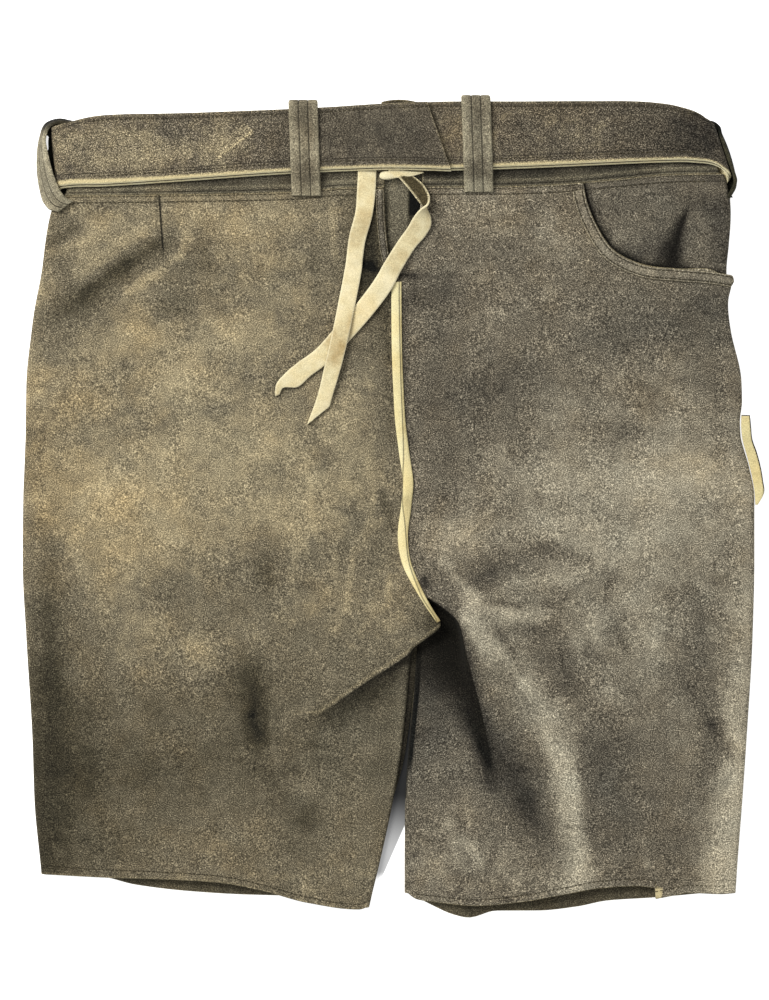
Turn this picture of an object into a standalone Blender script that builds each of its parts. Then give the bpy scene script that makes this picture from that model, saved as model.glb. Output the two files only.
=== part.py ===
"""Lederhosen: short suede breeches with a belt, laid flat on their front with the back upward.

The garment lies on the plane z = 0. X runs across the waist, Y from the hems up to the waist,
and Z away from the table. The origin is the bottom centre of the whole garment. Every size
below is in millimetres, and MM turns them into metres where a mesh is made.
"""
import math
from collections import namedtuple

import bmesh
import bpy
import numpy as np

MM = 0.001

# ---- driving sizes -------------------------------------------------------------------------
SUEDE = 1.6            # thickness of a panel or a waistband
PLY = 1.4              # thickness of one of the belt's two plies, and of the gusset
SEAM = 0.3             # clear space between two pieces at a seam
SLACK = 2.6            # free space between the front and back panels of a leg
SIDE_SWELL = 1.0       # how much more the legs stand open beside a side fold
WAIST_RISE = 5.5       # how far the belt in front lifts the front panels at the waist
WAIST_SLACK = 2.3      # free space between the front and back waistbands
RAMP_FOOT = 135.0      # where the front panels leave the table, below the waist
RAMP_HEAD = 214.0      # where they reach WAIST_RISE
WAIST_TOP = WAIST_RISE + 2 * SUEDE + WAIST_SLACK      # upper face of the back waistband
PLY_SPACE = 0.45       # between the belt's two plies, so that they clear each other at the turns
WAISTBAND_INSET = 1.8  # how far the waistbands' side folds stay inside the belt's turns
LACE_SPACE = 2.2       # space between the waistband and the belt, where the lace comes out
BELT_FRONT = 2.1       # outer face of the belt on the table side
BELT_BACK = WAIST_TOP + LACE_SPACE + 2 * PLY + PLY_SPACE
BELT_LAP = 3.7         # how far the left strap rides up where it laps the right one
LOOP = 1.8             # thickness of a belt loop between its ribs
RIB = 0.5              # height of a loop's three ribs
LACE = 1.3             # thickness of the lace
WELT = 1.6             # thickness of the pale welts
LEG_ROLL = 2.5         # radius of the roll along the inside of a leg
PLATE = (52.0, 46.0, 1.8)      # belt plate: across, up, thick

# ---- outline, a row for each height above the origin ----------------------------------------
Side = namedtuple("Side", "y left right")
SIDES = [
    Side(266, -217.0, 209.0),
    Side(240, -220.5, 220.0),
    Side(222, -222.6, 226.6),
    Side(214, -223.4, 228.2),
    Side(208, -228.6, 229.4),
    Side(198, -232.6, 229.8),
    Side(178, -236.2, 228.6),
    Side(161, -238.4, 227.2),
    Side(134, -243.6, 228.9),
    Side(120, -245.5, 230.8),
    Side(86, -249.0, 238.0),
    Side(72, -249.3, 238.4),
    Side(58, -249.5, 236.9),
    Side(48, -249.6, 237.4),
    Side(38, -250.0, 240.0),
    Side(27, -250.4, 243.2),
    Side(6, -251.2, 246.8),
    Side(-36, -251.6, 246.8),
    Side(-90, -249.0, 245.5),
    Side(-158, -244.9, 241.5),
    Side(-200, -243.5, 238.6),
    Side(-250, -238.8, 234.8),
    Side(-282, -236.5, 233.0),
]

# Inner edges of the back panels: the gusset opening, the centre-back seam, the tip of the
# crotch on the left panel, and the inside of each leg.
Inner = namedtuple("Inner", "y left right")
BACK_INNER = [
    Inner(222, -5.6, 20.8),
    Inner(198, -4.8, 18.4),
    Inner(178, -3.0, 11.6),
    Inner(165, -0.4, 6.8),
    Inner(157, 2.0, 3.8),
    Inner(150, 2.7, 3.5),
    Inner(105, 3.2, 4.0),
    Inner(59, 5.2, 6.0),
    Inner(39, 7.6, 8.4),
    Inner(22, 10.6, 11.4),
    Inner(10, 11.0, 11.8),
    Inner(-2, 8.8, 9.6),
    Inner(-24, 7.3, 8.1),
    Inner(-39, 10.0, 10.8),
    Inner(-57, 18.4, 19.2),
    Inner(-63, 22.2, 23.0),
    Inner(-72, 28.2, 21.6),
    Inner(-80, 33.0, 20.0),
    Inner(-84.5, 30.0, 19.3),
    Inner(-90.4, 22.4, 18.4),
    Inner(-98, 13.6, 17.0),
    Inner(-131, 10.2, 14.6),
    Inner(-168, 6.1, 10.9),
    Inner(-207, -0.7, 8.8),
    Inner(-244, -8.8, 8.5),
    Inner(-264, -13.6, 8.5),
    Inner(-282, -17.5, 8.8),
]
FRONT_INNER = [
    Inner(222, 3.8, 4.2),
    Inner(0, 7.8, 8.2),
    Inner(-60, 15.8, 16.2),
    Inner(-98, 17.7, 18.3),
    Inner(-131, 13.6, 14.5),
    Inner(-173, 7.5, 11.3),
    Inner(-207, -2.2, 9.4),
    Inner(-244, -10.3, 9.0),
    Inner(-282, -18.6, 9.4),
]

# ---- edges that run across, a row for each place along them ---------------------------------
Across = namedtuple("Across", "x y")
WAIST = [Across(-226, 211.5), Across(-140, 212.5), Across(-70, 214.0), Across(-30, 217.0),
         Across(20, 217.5), Across(67, 217.6), Across(114, 219.0), Across(142, 221.5),
         Across(195, 226.0), Across(230, 226.5)]
BACK_HEM_LEFT = [Across(-238.7, -249.6), Across(-197, -252.3), Across(-162, -253.6),
                 Across(-119, -256.4), Across(-88, -262.5), Across(-58, -271.0),
                 Across(-22, -276.1), Across(-13, -272.5)]
BACK_HEM_RIGHT = [Across(8.5, -262.5), Across(17, -268.6), Across(28, -270.2),
                  Across(56, -272.7), Across(86, -270.0), Across(117, -264.5),
                  Across(143, -259.8), Across(167, -258.4), Across(178.8, -259.6)]
BACK_HEM_STEP = [Across(179.4, -267.2), Across(190, -265.0), Across(202, -262.8),
                 Across(223, -263.4), Across(234, -262.5)]
FRONT_HEM_LEFT = [Across(-238.7, -248.8), Across(-197, -251.8), Across(-175, -257.0),
                  Across(-137, -261.5), Across(-97, -263.8), Across(-60, -264.5),
                  Across(-14, -264.0)]
FRONT_HEM_RIGHT = [Across(9, -261.0), Across(28, -271.3), Across(42, -277.4),
                   Across(52.4, -279.5), Across(71, -274.8), Across(100, -274.7),
                   Across(126, -272.0), Across(147, -267.9), Across(178, -265.9),
                   Across(234, -260.8)]
SCOOP = [Across(129.9, 220.2), Across(132.0, 208.8), Across(138.7, 191.8), Across(150.3, 174.8),
         Across(170.7, 164.6), Across(194.5, 161.8), Across(221.0, 159.2), Across(232.4, 152.6)]

# ---- folds of the back, soft ridges (+) and troughs (-) along short lines --------------------
Fold = namedtuple("Fold", "name x0 y0 x1 y1 width height")
FOLDS = [
    Fold("left hip drag line", -158, 178, -222, 140, 15, -1.1),
    Fold("left side trough", -228, -30, -229, -200, 9, -1.3),
    Fold("left side ridge", -206, -20, -210, -215, 12, 0.9),
    Fold("left thigh ridge", -84, -88, -80, -176, 12, 1.4),
    Fold("left thigh trough", -58, -110, -62, -186, 12, -1.2),
    Fold("beside the seam", -16, 20, -6, -40, 9, -1.1),
    Fold("seat left swell", -90, 120, -120, 20, 55, 1.6),
    Fold("seat right swell", 110, 80, 130, -10, 55, 1.6),
    Fold("gusset strain line", 6, 158, 42, 157, 4.5, -1.4),
    Fold("crotch drag line", 50, -40, 112, -76, 10, -1.5),
    Fold("right ridge below the crotch", 52, -84, 84, -196, 15, 4.2),
    Fold("right thigh trough", 92, -84, 140, -232, 17, -1.7),
    Fold("right thigh ridge", 118, -120, 172, -250, 18, 1.0),
    Fold("right side trough", 219, -90, 219, -175, 10, -1.2),
    Fold("right hem wave", 84, -262, 138, -250, 26, 2.6),
    Fold("left hem wave", -172, -250, -104, -256, 24, 1.8),
    Fold("pocket facing trough", 200, 197, 189, 166, 8, -1.6),
]

# The crotch: a mound where the seams bunch, cut off by two fold edges.
MOUND = (36.0, -72.0)          # middle
MOUND_SPREAD = (48.0, 40.0)
MOUND_HEIGHT = 8.6
LEFT_TUCK = [Across(36, -79.5), Across(22.4, -90.4), Across(13.6, -97.9), Across(-2, -108.8),
             Across(-15, -117.0), Across(-35, -131.0), Across(-50, -142.0)]
RIGHT_TUCK = [Across(24.5, -61.5), Across(33.0, -67.0), Across(44.9, -77.5), Across(47.6, -84.3),
              Across(51.7, -103.4), Across(59.2, -131.0), Across(65.3, -158.0),
              Across(73.0, -200.0)]

# ---- belt, back run of each strap from its lapped end to the side ---------------------------
Strap = namedtuple("Strap", "x_top y_top x_bottom y_bottom")
STRAP_LEFT = [Strap(23.8, 274.7, 39.4, 229.8), Strap(4.0, 274.0, 5.4, 230.9),
              Strap(-20.0, 272.6, -20.0, 230.6), Strap(-70.7, 270.0, -70.7, 228.5),
              Strap(-144.0, 267.2, -144.0, 223.4), Strap(-200.0, 265.3, -200.0, 219.9),
              Strap(-213.0, 263.6, -212.0, 219.5), Strap(-222.5, 260.2, -219.5, 219.3)]
STRAP_RIGHT = [Strap(-5.0, 273.0, -5.0, 231.2), Strap(23.8, 274.7, 23.8, 230.7),
               Strap(87.0, 275.2, 87.0, 232.2), Strap(141.4, 275.4, 141.4, 234.6),
               Strap(168.6, 275.1, 175.4, 236.0), Strap(190.0, 272.8, 200.0, 236.4),
               Strap(202.4, 269.4, 212.0, 235.4), Strap(210.6, 265.6, 221.2, 232.8)]
# Outermost point of each strap's turn at both edges, and how far each edge falls on either side.
Turn = namedtuple("Turn", "x_top x_bottom drop_top drop_bottom")
TURN_LEFT = Turn(-232.0, -228.6, 3.2, 1.2)
TURN_RIGHT = Turn(219.8, 230.8, 7.6, 8.0)
STRAP_FRONT = [Strap(0.0, 259.5, 0.0, 217.5)]         # both straps where they meet in front
STRAP_HALF_GAP = 2.0           # half the space between the strap ends behind the plate

# ---- laces, pale strips and loops -----------------------------------------------------------
# A lace row gives both edges of its smooth face, with their lifts above what lies below.
LaceRow = namedtuple("LaceRow", "ax ay lift_a bx by lift_b")
LACE_LEFT = [
    LaceRow(-11.0, 236.0, 1.6, -23.2, 236.0, 1.6),
    LaceRow(-10.9, 226.9, 1.7, -23.0, 226.9, 1.7),
    LaceRow(-11.4, 214.2, 2.3, -23.6, 214.2, 2.2),
    LaceRow(-13.6, 197.6, 2.5, -24.6, 201.0, 2.2),
    LaceRow(-18.4, 180.0, 2.3, -28.8, 184.6, 2.1),
    LaceRow(-21.1, 159.0, 2.6, -31.6, 163.6, 2.3),
    LaceRow(-25.2, 137.5, 4.0, -35.8, 142.0, 3.4),
    LaceRow(-29.6, 115.6, 4.4, -40.4, 119.0, 4.4),
    LaceRow(-35.6, 92.0, 4.2, -45.6, 96.0, 4.2),
    LaceRow(-40.8, 74.4, 2.4, -50.2, 77.0, 2.3),
    LaceRow(-42.4, 68.4, 1.9, -57.6, 56.2, 1.8),
]
LACE_RIGHT = [
    LaceRow(3.6, 224.6, 3.0, 12.4, 225.4, 1.7),
    LaceRow(8.2, 219.6, 3.4, 18.4, 221.2, 2.6),
    LaceRow(13.6, 213.5, 3.2, 23.1, 215.9, 4.6),
    LaceRow(19.0, 207.4, 2.4, 25.8, 209.4, 6.8),
    LaceRow(23.8, 202.6, 2.0, 24.8, 204.7, 8.8),
    LaceRow(26.4, 197.0, 2.2, 19.7, 201.3, 8.0),
    LaceRow(26.4, 191.0, 2.4, 14.8, 196.2, 5.4),
    LaceRow(23.1, 185.0, 2.2, 11.4, 190.4, 3.8),
    LaceRow(15.9, 176.5, 2.4, 5.4, 182.2, 3.0),
    LaceRow(7.5, 163.2, 3.2, -3.1, 169.0, 3.6),
    LaceRow(-1.1, 147.3, 3.8, -12.2, 153.7, 3.8),
    LaceRow(-12.0, 132.7, 2.6, -22.4, 140.1, 2.6),
    LaceRow(-29.0, 113.3, 2.0, -38.1, 122.4, 2.0),
    LaceRow(-46.0, 96.3, 2.0, -53.4, 105.7, 2.0),
    LaceRow(-55.8, 89.0, 2.1, -63.2, 98.6, 2.2),
    LaceRow(-64.3, 81.7, 2.2, -72.1, 91.1, 2.8),
    LaceRow(-74.8, 80.4, 2.6, -78.8, 82.4, 2.9),
    LaceRow(-76.6, 76.4, 2.0, -79.2, 75.6, 2.0),
]
LACE_KNOT = (-3.4, 225.2)      # middle of the knot, just below the belt
LACE_KNOT_SIZE = (11.4, 6.4, 4.0)

Lane = namedtuple("Lane", "x y lift")                  # lift above the panel below
SEAM_WELT = [Lane(3.0, 153.0, 0.3), Lane(3.1, 130.0, 0.3), Lane(3.4, 105.0, 0.3),
             Lane(4.4, 80.0, 0.3), Lane(5.6, 59.0, 0.3), Lane(8.4, 36.0, 0.3),
             Lane(11.0, 16.0, 0.3), Lane(9.6, 0.0, 0.3), Lane(7.4, -20.0, 0.3),
             Lane(9.6, -37.0, 0.3), Lane(17.6, -55.0, 0.3), Lane(26.0, -69.5, 0.3),
             Lane(31.5, -77.6, 0.3)]
SEAM_WELT_WIDTH = 6.6
SEAM_WELT_TIP = 2.6            # width at the pointed lower end
Edge = namedtuple("Edge", "x_in x_out y")
SIDE_WELT = [Edge(238.3, 242.8, 61.5), Edge(238.2, 243.4, 54.0), Edge(239.3, 244.4, 45.0),
             Edge(241.5, 247.2, 37.0), Edge(244.0, 249.8, 27.4), Edge(246.2, 251.6, 17.0),
             Edge(247.4, 252.3, 9.0), Edge(247.7, 250.4, 4.6), Edge(247.8, 248.8, 2.0)]
SIDE_WELT_TOP = 5.4            # height of its upper face
LOOPS_BACK = {"loop_back_left": (-60.4, 0.0), "loop_back_right": (56.8, 3.2)}   # middle, lift up
LOOP_WIDTH = 19.0
LOOP_LEAN = 2.2                # how far a loop's foot stands to the right of its head
LOOPS_FRONT = {"loop_front_left": -62.0, "loop_front_right": 62.0}
BINDING_WIDTH = 8.0
BINDING = 0.9                  # thickness of the stitched edge strips

LEATHER = (0.19, 0.165, 0.115)
LEATHER_DARK = (0.11, 0.095, 0.07)
CREAM = (0.83, 0.76, 0.52)
BRASS = (0.62, 0.49, 0.24)


# ---- curves and heights ---------------------------------------------------------------------
def smooth(t):
    """0 below 0, 1 above 1, and an even S between."""
    t = np.clip(t, 0.0, 1.0)
    return t * t * (3.0 - 2.0 * t)


def flow(rows, key, value, at):
    """Smooth curve through a table's rows that never overshoots them."""
    table = sorted((float(getattr(row, key)), float(getattr(row, value))) for row in rows)
    xs, ys = np.array(table).T
    step = np.diff(xs)
    slope = np.diff(ys) / step
    product = slope[1:] * slope[:-1]
    total = np.where(product > 0.0, slope[1:] + slope[:-1], 1.0)
    middle = np.where(product > 0.0, 2.0 * product / total, 0.0)
    tangent = np.concatenate([slope[:1], middle, slope[-1:]])
    at = np.clip(np.asarray(at, float), xs[0], xs[-1])
    i = np.clip(np.searchsorted(xs, at) - 1, 0, len(step) - 1)
    t = (at - xs[i]) / step[i]
    rise = ys[i] * (1 + 2 * t) * (1 - t) ** 2 + ys[i + 1] * t * t * (3 - 2 * t)
    lean = step[i] * (tangent[i] * t * (1 - t) ** 2 + tangent[i + 1] * t * t * (t - 1))
    return rise + lean


def flow_line(points, fractions):
    """Points at the given fractions of the length of a smooth curve through a few points."""
    points = np.asarray(points, float)
    knots = np.concatenate([[0.0], np.cumsum(np.linalg.norm(np.diff(points, axis=0), axis=1))])
    slopes = np.gradient(points, knots, axis=0)
    at = np.asarray(fractions, float) * knots[-1]
    i = np.clip(np.searchsorted(knots, at) - 1, 0, len(knots) - 2)
    span = (knots[i + 1] - knots[i])[:, None]
    t = (at - knots[i])[:, None] / span
    near = points[i] * (1 + 2 * t) * (1 - t) ** 2 + points[i + 1] * t * t * (3 - 2 * t)
    lean = span * (slopes[i] * t * (1 - t) ** 2 + slopes[i + 1] * t * t * (t - 1))
    return near + lean


def distance_to_line(x, y, points):
    """Distance of places (x, y) from an open line of points."""
    best = np.full(np.shape(x), 1e9)
    for (x0, y0), (x1, y1) in zip(points[:-1], points[1:]):
        run = (x1 - x0, y1 - y0)
        t = np.clip(((x - x0) * run[0] + (y - y0) * run[1]) / (run[0] ** 2 + run[1] ** 2), 0, 1)
        best = np.minimum(best, np.hypot(x - x0 - t * run[0], y - y0 - t * run[1]))
    return best


def front_rise(y):
    """Height of the front panels' underside above the table."""
    return WAIST_RISE * smooth((np.asarray(y, float) - RAMP_FOOT) / (RAMP_HEAD - RAMP_FOOT))


def side_height(y):
    """Height from the underside of the front to the top of the back, at a side fold."""
    waist = smooth((np.asarray(y, float) - 150.0) / 60.0)
    leg = 2 * SUEDE + SLACK + SIDE_SWELL
    return leg + waist * (2 * SUEDE + WAIST_SLACK - leg)


def fold_relief(x, y):
    """Sum of all the soft ridges and troughs."""
    total = np.zeros(np.shape(x))
    for fold in FOLDS:
        run = np.array([fold.x1 - fold.x0, fold.y1 - fold.y0], float)
        length = np.hypot(*run)
        along = ((x - fold.x0) * run[0] + (y - fold.y0) * run[1]) / length
        aside = ((x - fold.x0) * -run[1] + (y - fold.y0) * run[0]) / length
        past = np.maximum(np.maximum(-along, along - length), 0.0)
        total = total + fold.height * np.exp(-(aside ** 2 + past ** 2) / fold.width ** 2)
    return total


def tuck_left(x, y):
    """0 above the fold edge that crosses the left leg's top, 1 below it."""
    edge = flow(LEFT_TUCK, "x", "y", x)
    fade = smooth((x + 48.0) / 34.0)
    return fade * smooth((edge - y) * 0.8 / 5.0)


def tuck_right(x, y):
    """0 right of the fold edge below the crotch, 1 in the pocket left of it."""
    edge = flow(RIGHT_TUCK, "y", "x", y)
    width = 3.0 + 22.0 * smooth((-80.0 - y) / 90.0)
    fade = smooth((y + 215.0) / 95.0) * (y < -60.0)
    return fade * smooth((edge - x) / width)


def back_top(x, y, leg):
    """Height of the back's upper face on one leg, "left" or "right"."""
    x, y = np.asarray(x, float), np.asarray(y, float)
    waist = smooth((y - 150.0) / 62.0)
    base = front_rise(y) + 2 * SUEDE + SLACK + waist * (WAIST_SLACK - SLACK)
    mound = ((x - MOUND[0]) / MOUND_SPREAD[0]) ** 2 + ((y - MOUND[1]) / MOUND_SPREAD[1]) ** 2
    folds = fold_relief(x, y)
    relief = MOUND_HEIGHT * np.exp(-mound) + np.maximum(folds, 0.0)
    tuck = tuck_left(x, y) if leg == "left" else tuck_right(x, y)
    height = base + relief * (1.0 - tuck) + np.minimum(folds, 0.0) * (1.0 - waist)
    height = height - 1.4 * tuck
    side = np.minimum(x - flow(SIDES, "y", "left", y), flow(SIDES, "y", "right", y) - x)
    near_side = np.exp(-(np.maximum(side, 0.0) / 13.0) ** 2)
    height = height + near_side * (front_rise(y) + side_height(y) - height)
    return np.maximum(height, front_rise(y) + 2 * SUEDE + 2 * SEAM)


def belt_top_height(x):
    """Height of the outer face of the left strap, which laps over the right one."""
    return BELT_BACK + BELT_LAP * smooth((np.asarray(x, float) + 44.0) / 32.0)


# ---- making solids --------------------------------------------------------------------------
def clear_scene():
    for item in list(bpy.data.objects):
        bpy.data.objects.remove(item, do_unlink=True)


def finish(name, colour, roughness=0.92, metallic=0.0):
    material = bpy.data.materials.new(name)
    material.use_nodes = True
    shader = material.node_tree.nodes["Principled BSDF"]
    shader.inputs["Base Color"].default_value = (*colour, 1.0)
    shader.inputs["Roughness"].default_value = roughness
    shader.inputs["Metallic"].default_value = metallic
    return material


def add_object(name, mesh, colour, roughness=0.92, metallic=0.0):
    item = bpy.data.objects.new(name, mesh)
    GARMENT.objects.link(item)
    mesh.materials.append(finish(name, colour, roughness, metallic))
    mesh.shade_smooth()
    mesh.set_sharp_from_angle(angle=math.radians(40.0))
    return item


def grid_mesh(name, grid, flip=False):
    """Open surface through a grid of points, rows by columns."""
    rows, columns = grid.shape[:2]
    faces = []
    for r in range(rows - 1):
        for c in range(columns - 1):
            a = r * columns + c
            quad = (a, a + columns, a + columns + 1, a + 1)
            faces.append(quad[::-1] if flip else quad)
    mesh = bpy.data.meshes.new(name)
    mesh.from_pydata((grid.reshape(-1, 3) * MM).tolist(), [], faces)
    return mesh


def wall(name, grid, thickness, colour, faces_up=True):
    """A sheet of leather: the grid is its outer face, and the thickness goes inward."""
    run = grid[0, -1] - grid[0, 0]
    drop = grid[-1, 0] - grid[0, 0]
    upward = np.cross(drop, run)[2] > 0.0
    item = add_object(name, grid_mesh(name, grid, flip=upward != faces_up), colour)
    shell = item.modifiers.new("thickness", "SOLIDIFY")
    shell.thickness = thickness * MM
    shell.offset = -1.0
    return item


def ribbon(name, edge_a, edge_b, thickness, colour, profile=((0.0, 0.0), (1.0, 0.0)),
           inner_a=None, inner_b=None):
    """Closed strip between two edge lines of its outer face.

    profile has a row for each line along the strip: how far across it lies, and how far it is
    raised. inner_a and inner_b are the edges of its inner face where a slanted cut makes them
    differ from a plain offset.
    """
    edge_a, edge_b = np.asarray(edge_a, float), np.asarray(edge_b, float)
    across = edge_b - edge_a
    along = np.gradient((edge_a + edge_b) / 2.0, axis=0)
    normal = np.cross(across, along)
    normal /= np.linalg.norm(normal, axis=1)[:, None]
    outer = [edge_a + f * across + lift * normal for f, lift in profile]
    back_a = edge_a - thickness * normal if inner_a is None else inner_a - thickness * normal
    back_b = edge_b - thickness * normal if inner_b is None else inner_b - thickness * normal
    lines = outer + [back_b, back_a]
    stations, count = len(edge_a), len(lines)
    verts = [lines[k][s] * MM for s in range(stations) for k in range(count)]
    faces = []
    for s in range(stations - 1):
        for k in range(count):
            a, b = s * count + k, s * count + (k + 1) % count
            faces.append((a, a + count, b + count, b))
    faces.append(tuple(range(count)))
    faces.append(tuple(reversed(range((stations - 1) * count, stations * count))))
    mesh = bpy.data.meshes.new(name)
    mesh.from_pydata([tuple(v) for v in verts], [], faces)
    work = bmesh.new()
    work.from_mesh(mesh)
    bmesh.ops.triangulate(work, faces=[f for f in work.faces if len(f.verts) > 4])
    bmesh.ops.recalc_face_normals(work, faces=work.faces)
    work.to_mesh(mesh)
    work.free()
    return add_object(name, mesh, colour)


# ---- panels ---------------------------------------------------------------------------------
def spread(*stretches):
    """Fractions from a few stretches (start, stop, steps) laid end to end."""
    parts = [np.linspace(a, b, n, endpoint=False) for a, b, n in stretches]
    return np.append(np.concatenate(parts), stretches[-1][1])


def patch(top, bottom, inner, outer, us, vs):
    """Coons patch between four boundary curves, each a function of fractions."""
    t, b, i, o = top(us), bottom(us), inner(vs), outer(vs)
    u, v = us[None, :, None], vs[:, None, None]
    ruled = (1 - v) * t[None] + v * b[None] + (1 - u) * i[:, None] + u * o[:, None]
    corners = ((1 - u) * (1 - v) * t[0] + u * (1 - v) * t[-1]
               + (1 - u) * v * b[0] + u * v * b[-1])
    return ruled - corners


def edge_curve(rows, start, stop):
    """Boundary running across from x = start to x = stop along a table of places."""
    def curve(f):
        x = start + (stop - start) * f
        return np.stack([x, flow(rows, "x", "y", x)], axis=1)
    return curve


def side_curve(rows, column, y_top, y_bottom, inset):
    """Boundary running down a side, moved inward by inset(y)."""
    def curve(f):
        y = y_top + (y_bottom - y_top) * f
        return np.stack([flow(rows, "y", column, y) + inset(y), y], axis=1)
    return curve


def side_radius(y):
    """Radius of a side fold, less half the seam between the rims of front and back."""
    return side_height(y) / 2.0 - SEAM


def add_side_roll(grid, sign, downward, turns=(25.0, 50.0, 75.0, 90.0)):
    """Columns that carry a panel round its side fold, a quarter turn down or up."""
    edge = grid[:, -1]
    radius = side_radius(edge[:, 1])
    columns = [grid]
    for degrees in turns:
        angle = math.radians(degrees)
        line = edge.copy()
        line[:, 0] += sign * radius * math.sin(angle)
        line[:, 2] += (-1.0 if downward else 1.0) * radius * (1.0 - math.cos(angle))
        columns.append(line[:, None])
    return np.concatenate(columns, axis=1)


def add_leg_roll(grid, sign, drop, turns=(90.0, 60.0, 30.0)):
    """Columns that roll a back panel down to the front along the inside of the leg."""
    edge = grid[:, 0]
    columns = []
    for degrees in turns:
        angle = math.radians(degrees)
        line = edge.copy()
        line[:, 0] -= sign * LEG_ROLL * math.sin(angle)
        line[:, 2] -= drop(edge) * (1.0 - math.cos(angle))
        columns.append(line[:, None])
    return np.concatenate(columns + [grid], axis=1)


def scoop_lift(x, y):
    """The back right panel rises over the pocket facing near the pocket mouth."""
    line = [(p.x, p.y) for p in SCOOP]
    return (SUEDE + SEAM) * (1.0 - smooth((distance_to_line(x, y, line) - 12.0) / 22.0))


def back_grid(leg, us, vs):
    """Outer face of a back panel, from the inside of the leg out round the side fold."""
    sign = -1.0 if leg == "left" else 1.0
    waist_inner = float(flow(BACK_INNER, "y", leg, 217.0))
    hem_inner = float(flow(BACK_INNER, "y", leg, -268.0))
    inner = side_curve(BACK_INNER, leg, float(flow(WAIST, "x", "y", waist_inner)) - SEAM,
                       -272.5 if leg == "left" else -262.5, lambda y: sign * LEG_ROLL)
    start = inner(np.array([0.0]))[0]
    if leg == "left":
        outer = side_curve(SIDES, leg, 211.2, -249.6, side_radius)
        end = outer(np.array([0.0, 1.0]))
        top_edge = edge_curve(WAIST, start[0], end[0][0])

        def top(f):
            return top_edge(f) - (0.0, SEAM)
        foot = inner(np.array([1.0]))[0]
        bottom = edge_curve(BACK_HEM_LEFT, foot[0], end[1][0])
    else:
        def flare(y):
            return -side_radius(y) + 3.6 * np.exp(-((y - 152.6) / 9.0) ** 2)
        outer = side_curve(SIDES, leg, SCOOP[-1].y, -262.5, flare)
        end = outer(np.array([0.0, 1.0]))
        seam_part = edge_curve(WAIST, start[0], SCOOP[0].x)(np.linspace(0.0, 1.0, 6))
        seam_part[:, 1] -= SEAM
        mouth = np.array([(p.x, p.y) for p in SCOOP[1:-1]] + [tuple(end[0])])

        def top(f):
            split = 0.42
            left_part = flow_line(seam_part, np.clip(f / split, 0.0, 1.0))
            points = np.concatenate([seam_part[-1:], mouth])
            right_part = flow_line(points, np.clip((f - split) / (1.0 - split), 0.0, 1.0))
            return np.where((f <= split)[:, None], left_part, right_part)
        foot = inner(np.array([1.0]))[0]

        def bottom(f):
            x = foot[0] + (end[1][0] - foot[0]) * f
            main = flow(BACK_HEM_RIGHT, "x", "y", x)
            tail = flow(BACK_HEM_STEP, "x", "y", x)
            return np.stack([x, np.where(x < BACK_HEM_STEP[0].x, main, tail)], axis=1)
    flat = patch(top, bottom, inner, outer, us, vs)
    x, y = flat[..., 0], flat[..., 1]
    z = back_top(x, y, leg)
    if leg == "right":
        z = z + scoop_lift(x, y)
    grid = np.dstack([x, y, z])

    def roll_drop(edge):
        leg_part = smooth((-62.0 - edge[:, 1]) / (30.0 if leg == "left" else 12.0))
        if leg == "left":
            leg_part = leg_part * smooth((-84.0 - edge[:, 1]) / 12.0) * 0.8 + leg_part * 0.2
        return 0.5 + leg_part * (edge[:, 2] - SUEDE - 2 * SEAM - 0.5)
    grid = add_leg_roll(grid, sign, roll_drop)
    return add_side_roll(grid, sign, downward=True)


ROWS = spread((0.0, 0.10, 4), (0.10, 0.55, 10), (0.55, 0.74, 12), (0.74, 1.0, 8))
COLUMNS = spread((0.0, 0.24, 7), (0.24, 0.88, 8), (0.88, 1.0, 3))


def make_back_panels():
    wall("back_left", back_grid("left", COLUMNS, ROWS), SUEDE, LEATHER)
    edge_x = float(flow(BACK_INNER, "y", "right", -262.5)) + LEG_ROLL
    end_x = float(flow(SIDES, "y", "right", -262.5)) - float(side_radius(-262.5))
    step = (BACK_HEM_STEP[0].x - edge_x) / (end_x - edge_x)
    blade = 0.6 / (end_x - edge_x)
    right = spread((0.0, 0.24, 7), (0.24, step - blade, 5), (step - blade, step, 1),
                   (step, 1.0, 4))
    wall("back_right", back_grid("right", right, ROWS), SUEDE, LEATHER)


def front_grid(leg, us, vs):
    """Underside of a front panel, flat on the table, turning up at the side fold."""
    sign = -1.0 if leg == "left" else 1.0
    hem = FRONT_HEM_LEFT if leg == "left" else FRONT_HEM_RIGHT
    waist_y = 211.2
    foot_y = -264.0 if leg == "left" else -261.0
    side_y = -248.8 if leg == "left" else -260.8
    inner = side_curve(FRONT_INNER, leg, waist_y, foot_y, lambda y: 0.0 * y)

    def inset(y):
        return -sign * side_radius(y)
    outer = side_curve(SIDES, leg, waist_y, side_y, inset)
    ends = inner(np.array([0.0, 1.0])), outer(np.array([0.0, 1.0]))

    def top(f):
        return ends[0][0] + (ends[1][0] - ends[0][0]) * f[:, None]
    bottom = edge_curve(hem, ends[0][1][0], ends[1][1][0])
    flat = patch(top, bottom, inner, outer, us, vs)
    grid = np.dstack([flat[..., 0], flat[..., 1], front_rise(flat[..., 1])])
    return add_side_roll(grid, sign, downward=False)


def make_front_panels():
    us = spread((0.0, 1.0, 9))
    vs = spread((0.0, 0.2, 5), (0.2, 0.95, 10), (0.95, 1.0, 1))
    for leg in ("left", "right"):
        wall("front_" + leg, front_grid(leg, us, vs), SUEDE, LEATHER, faces_up=False)


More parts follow.
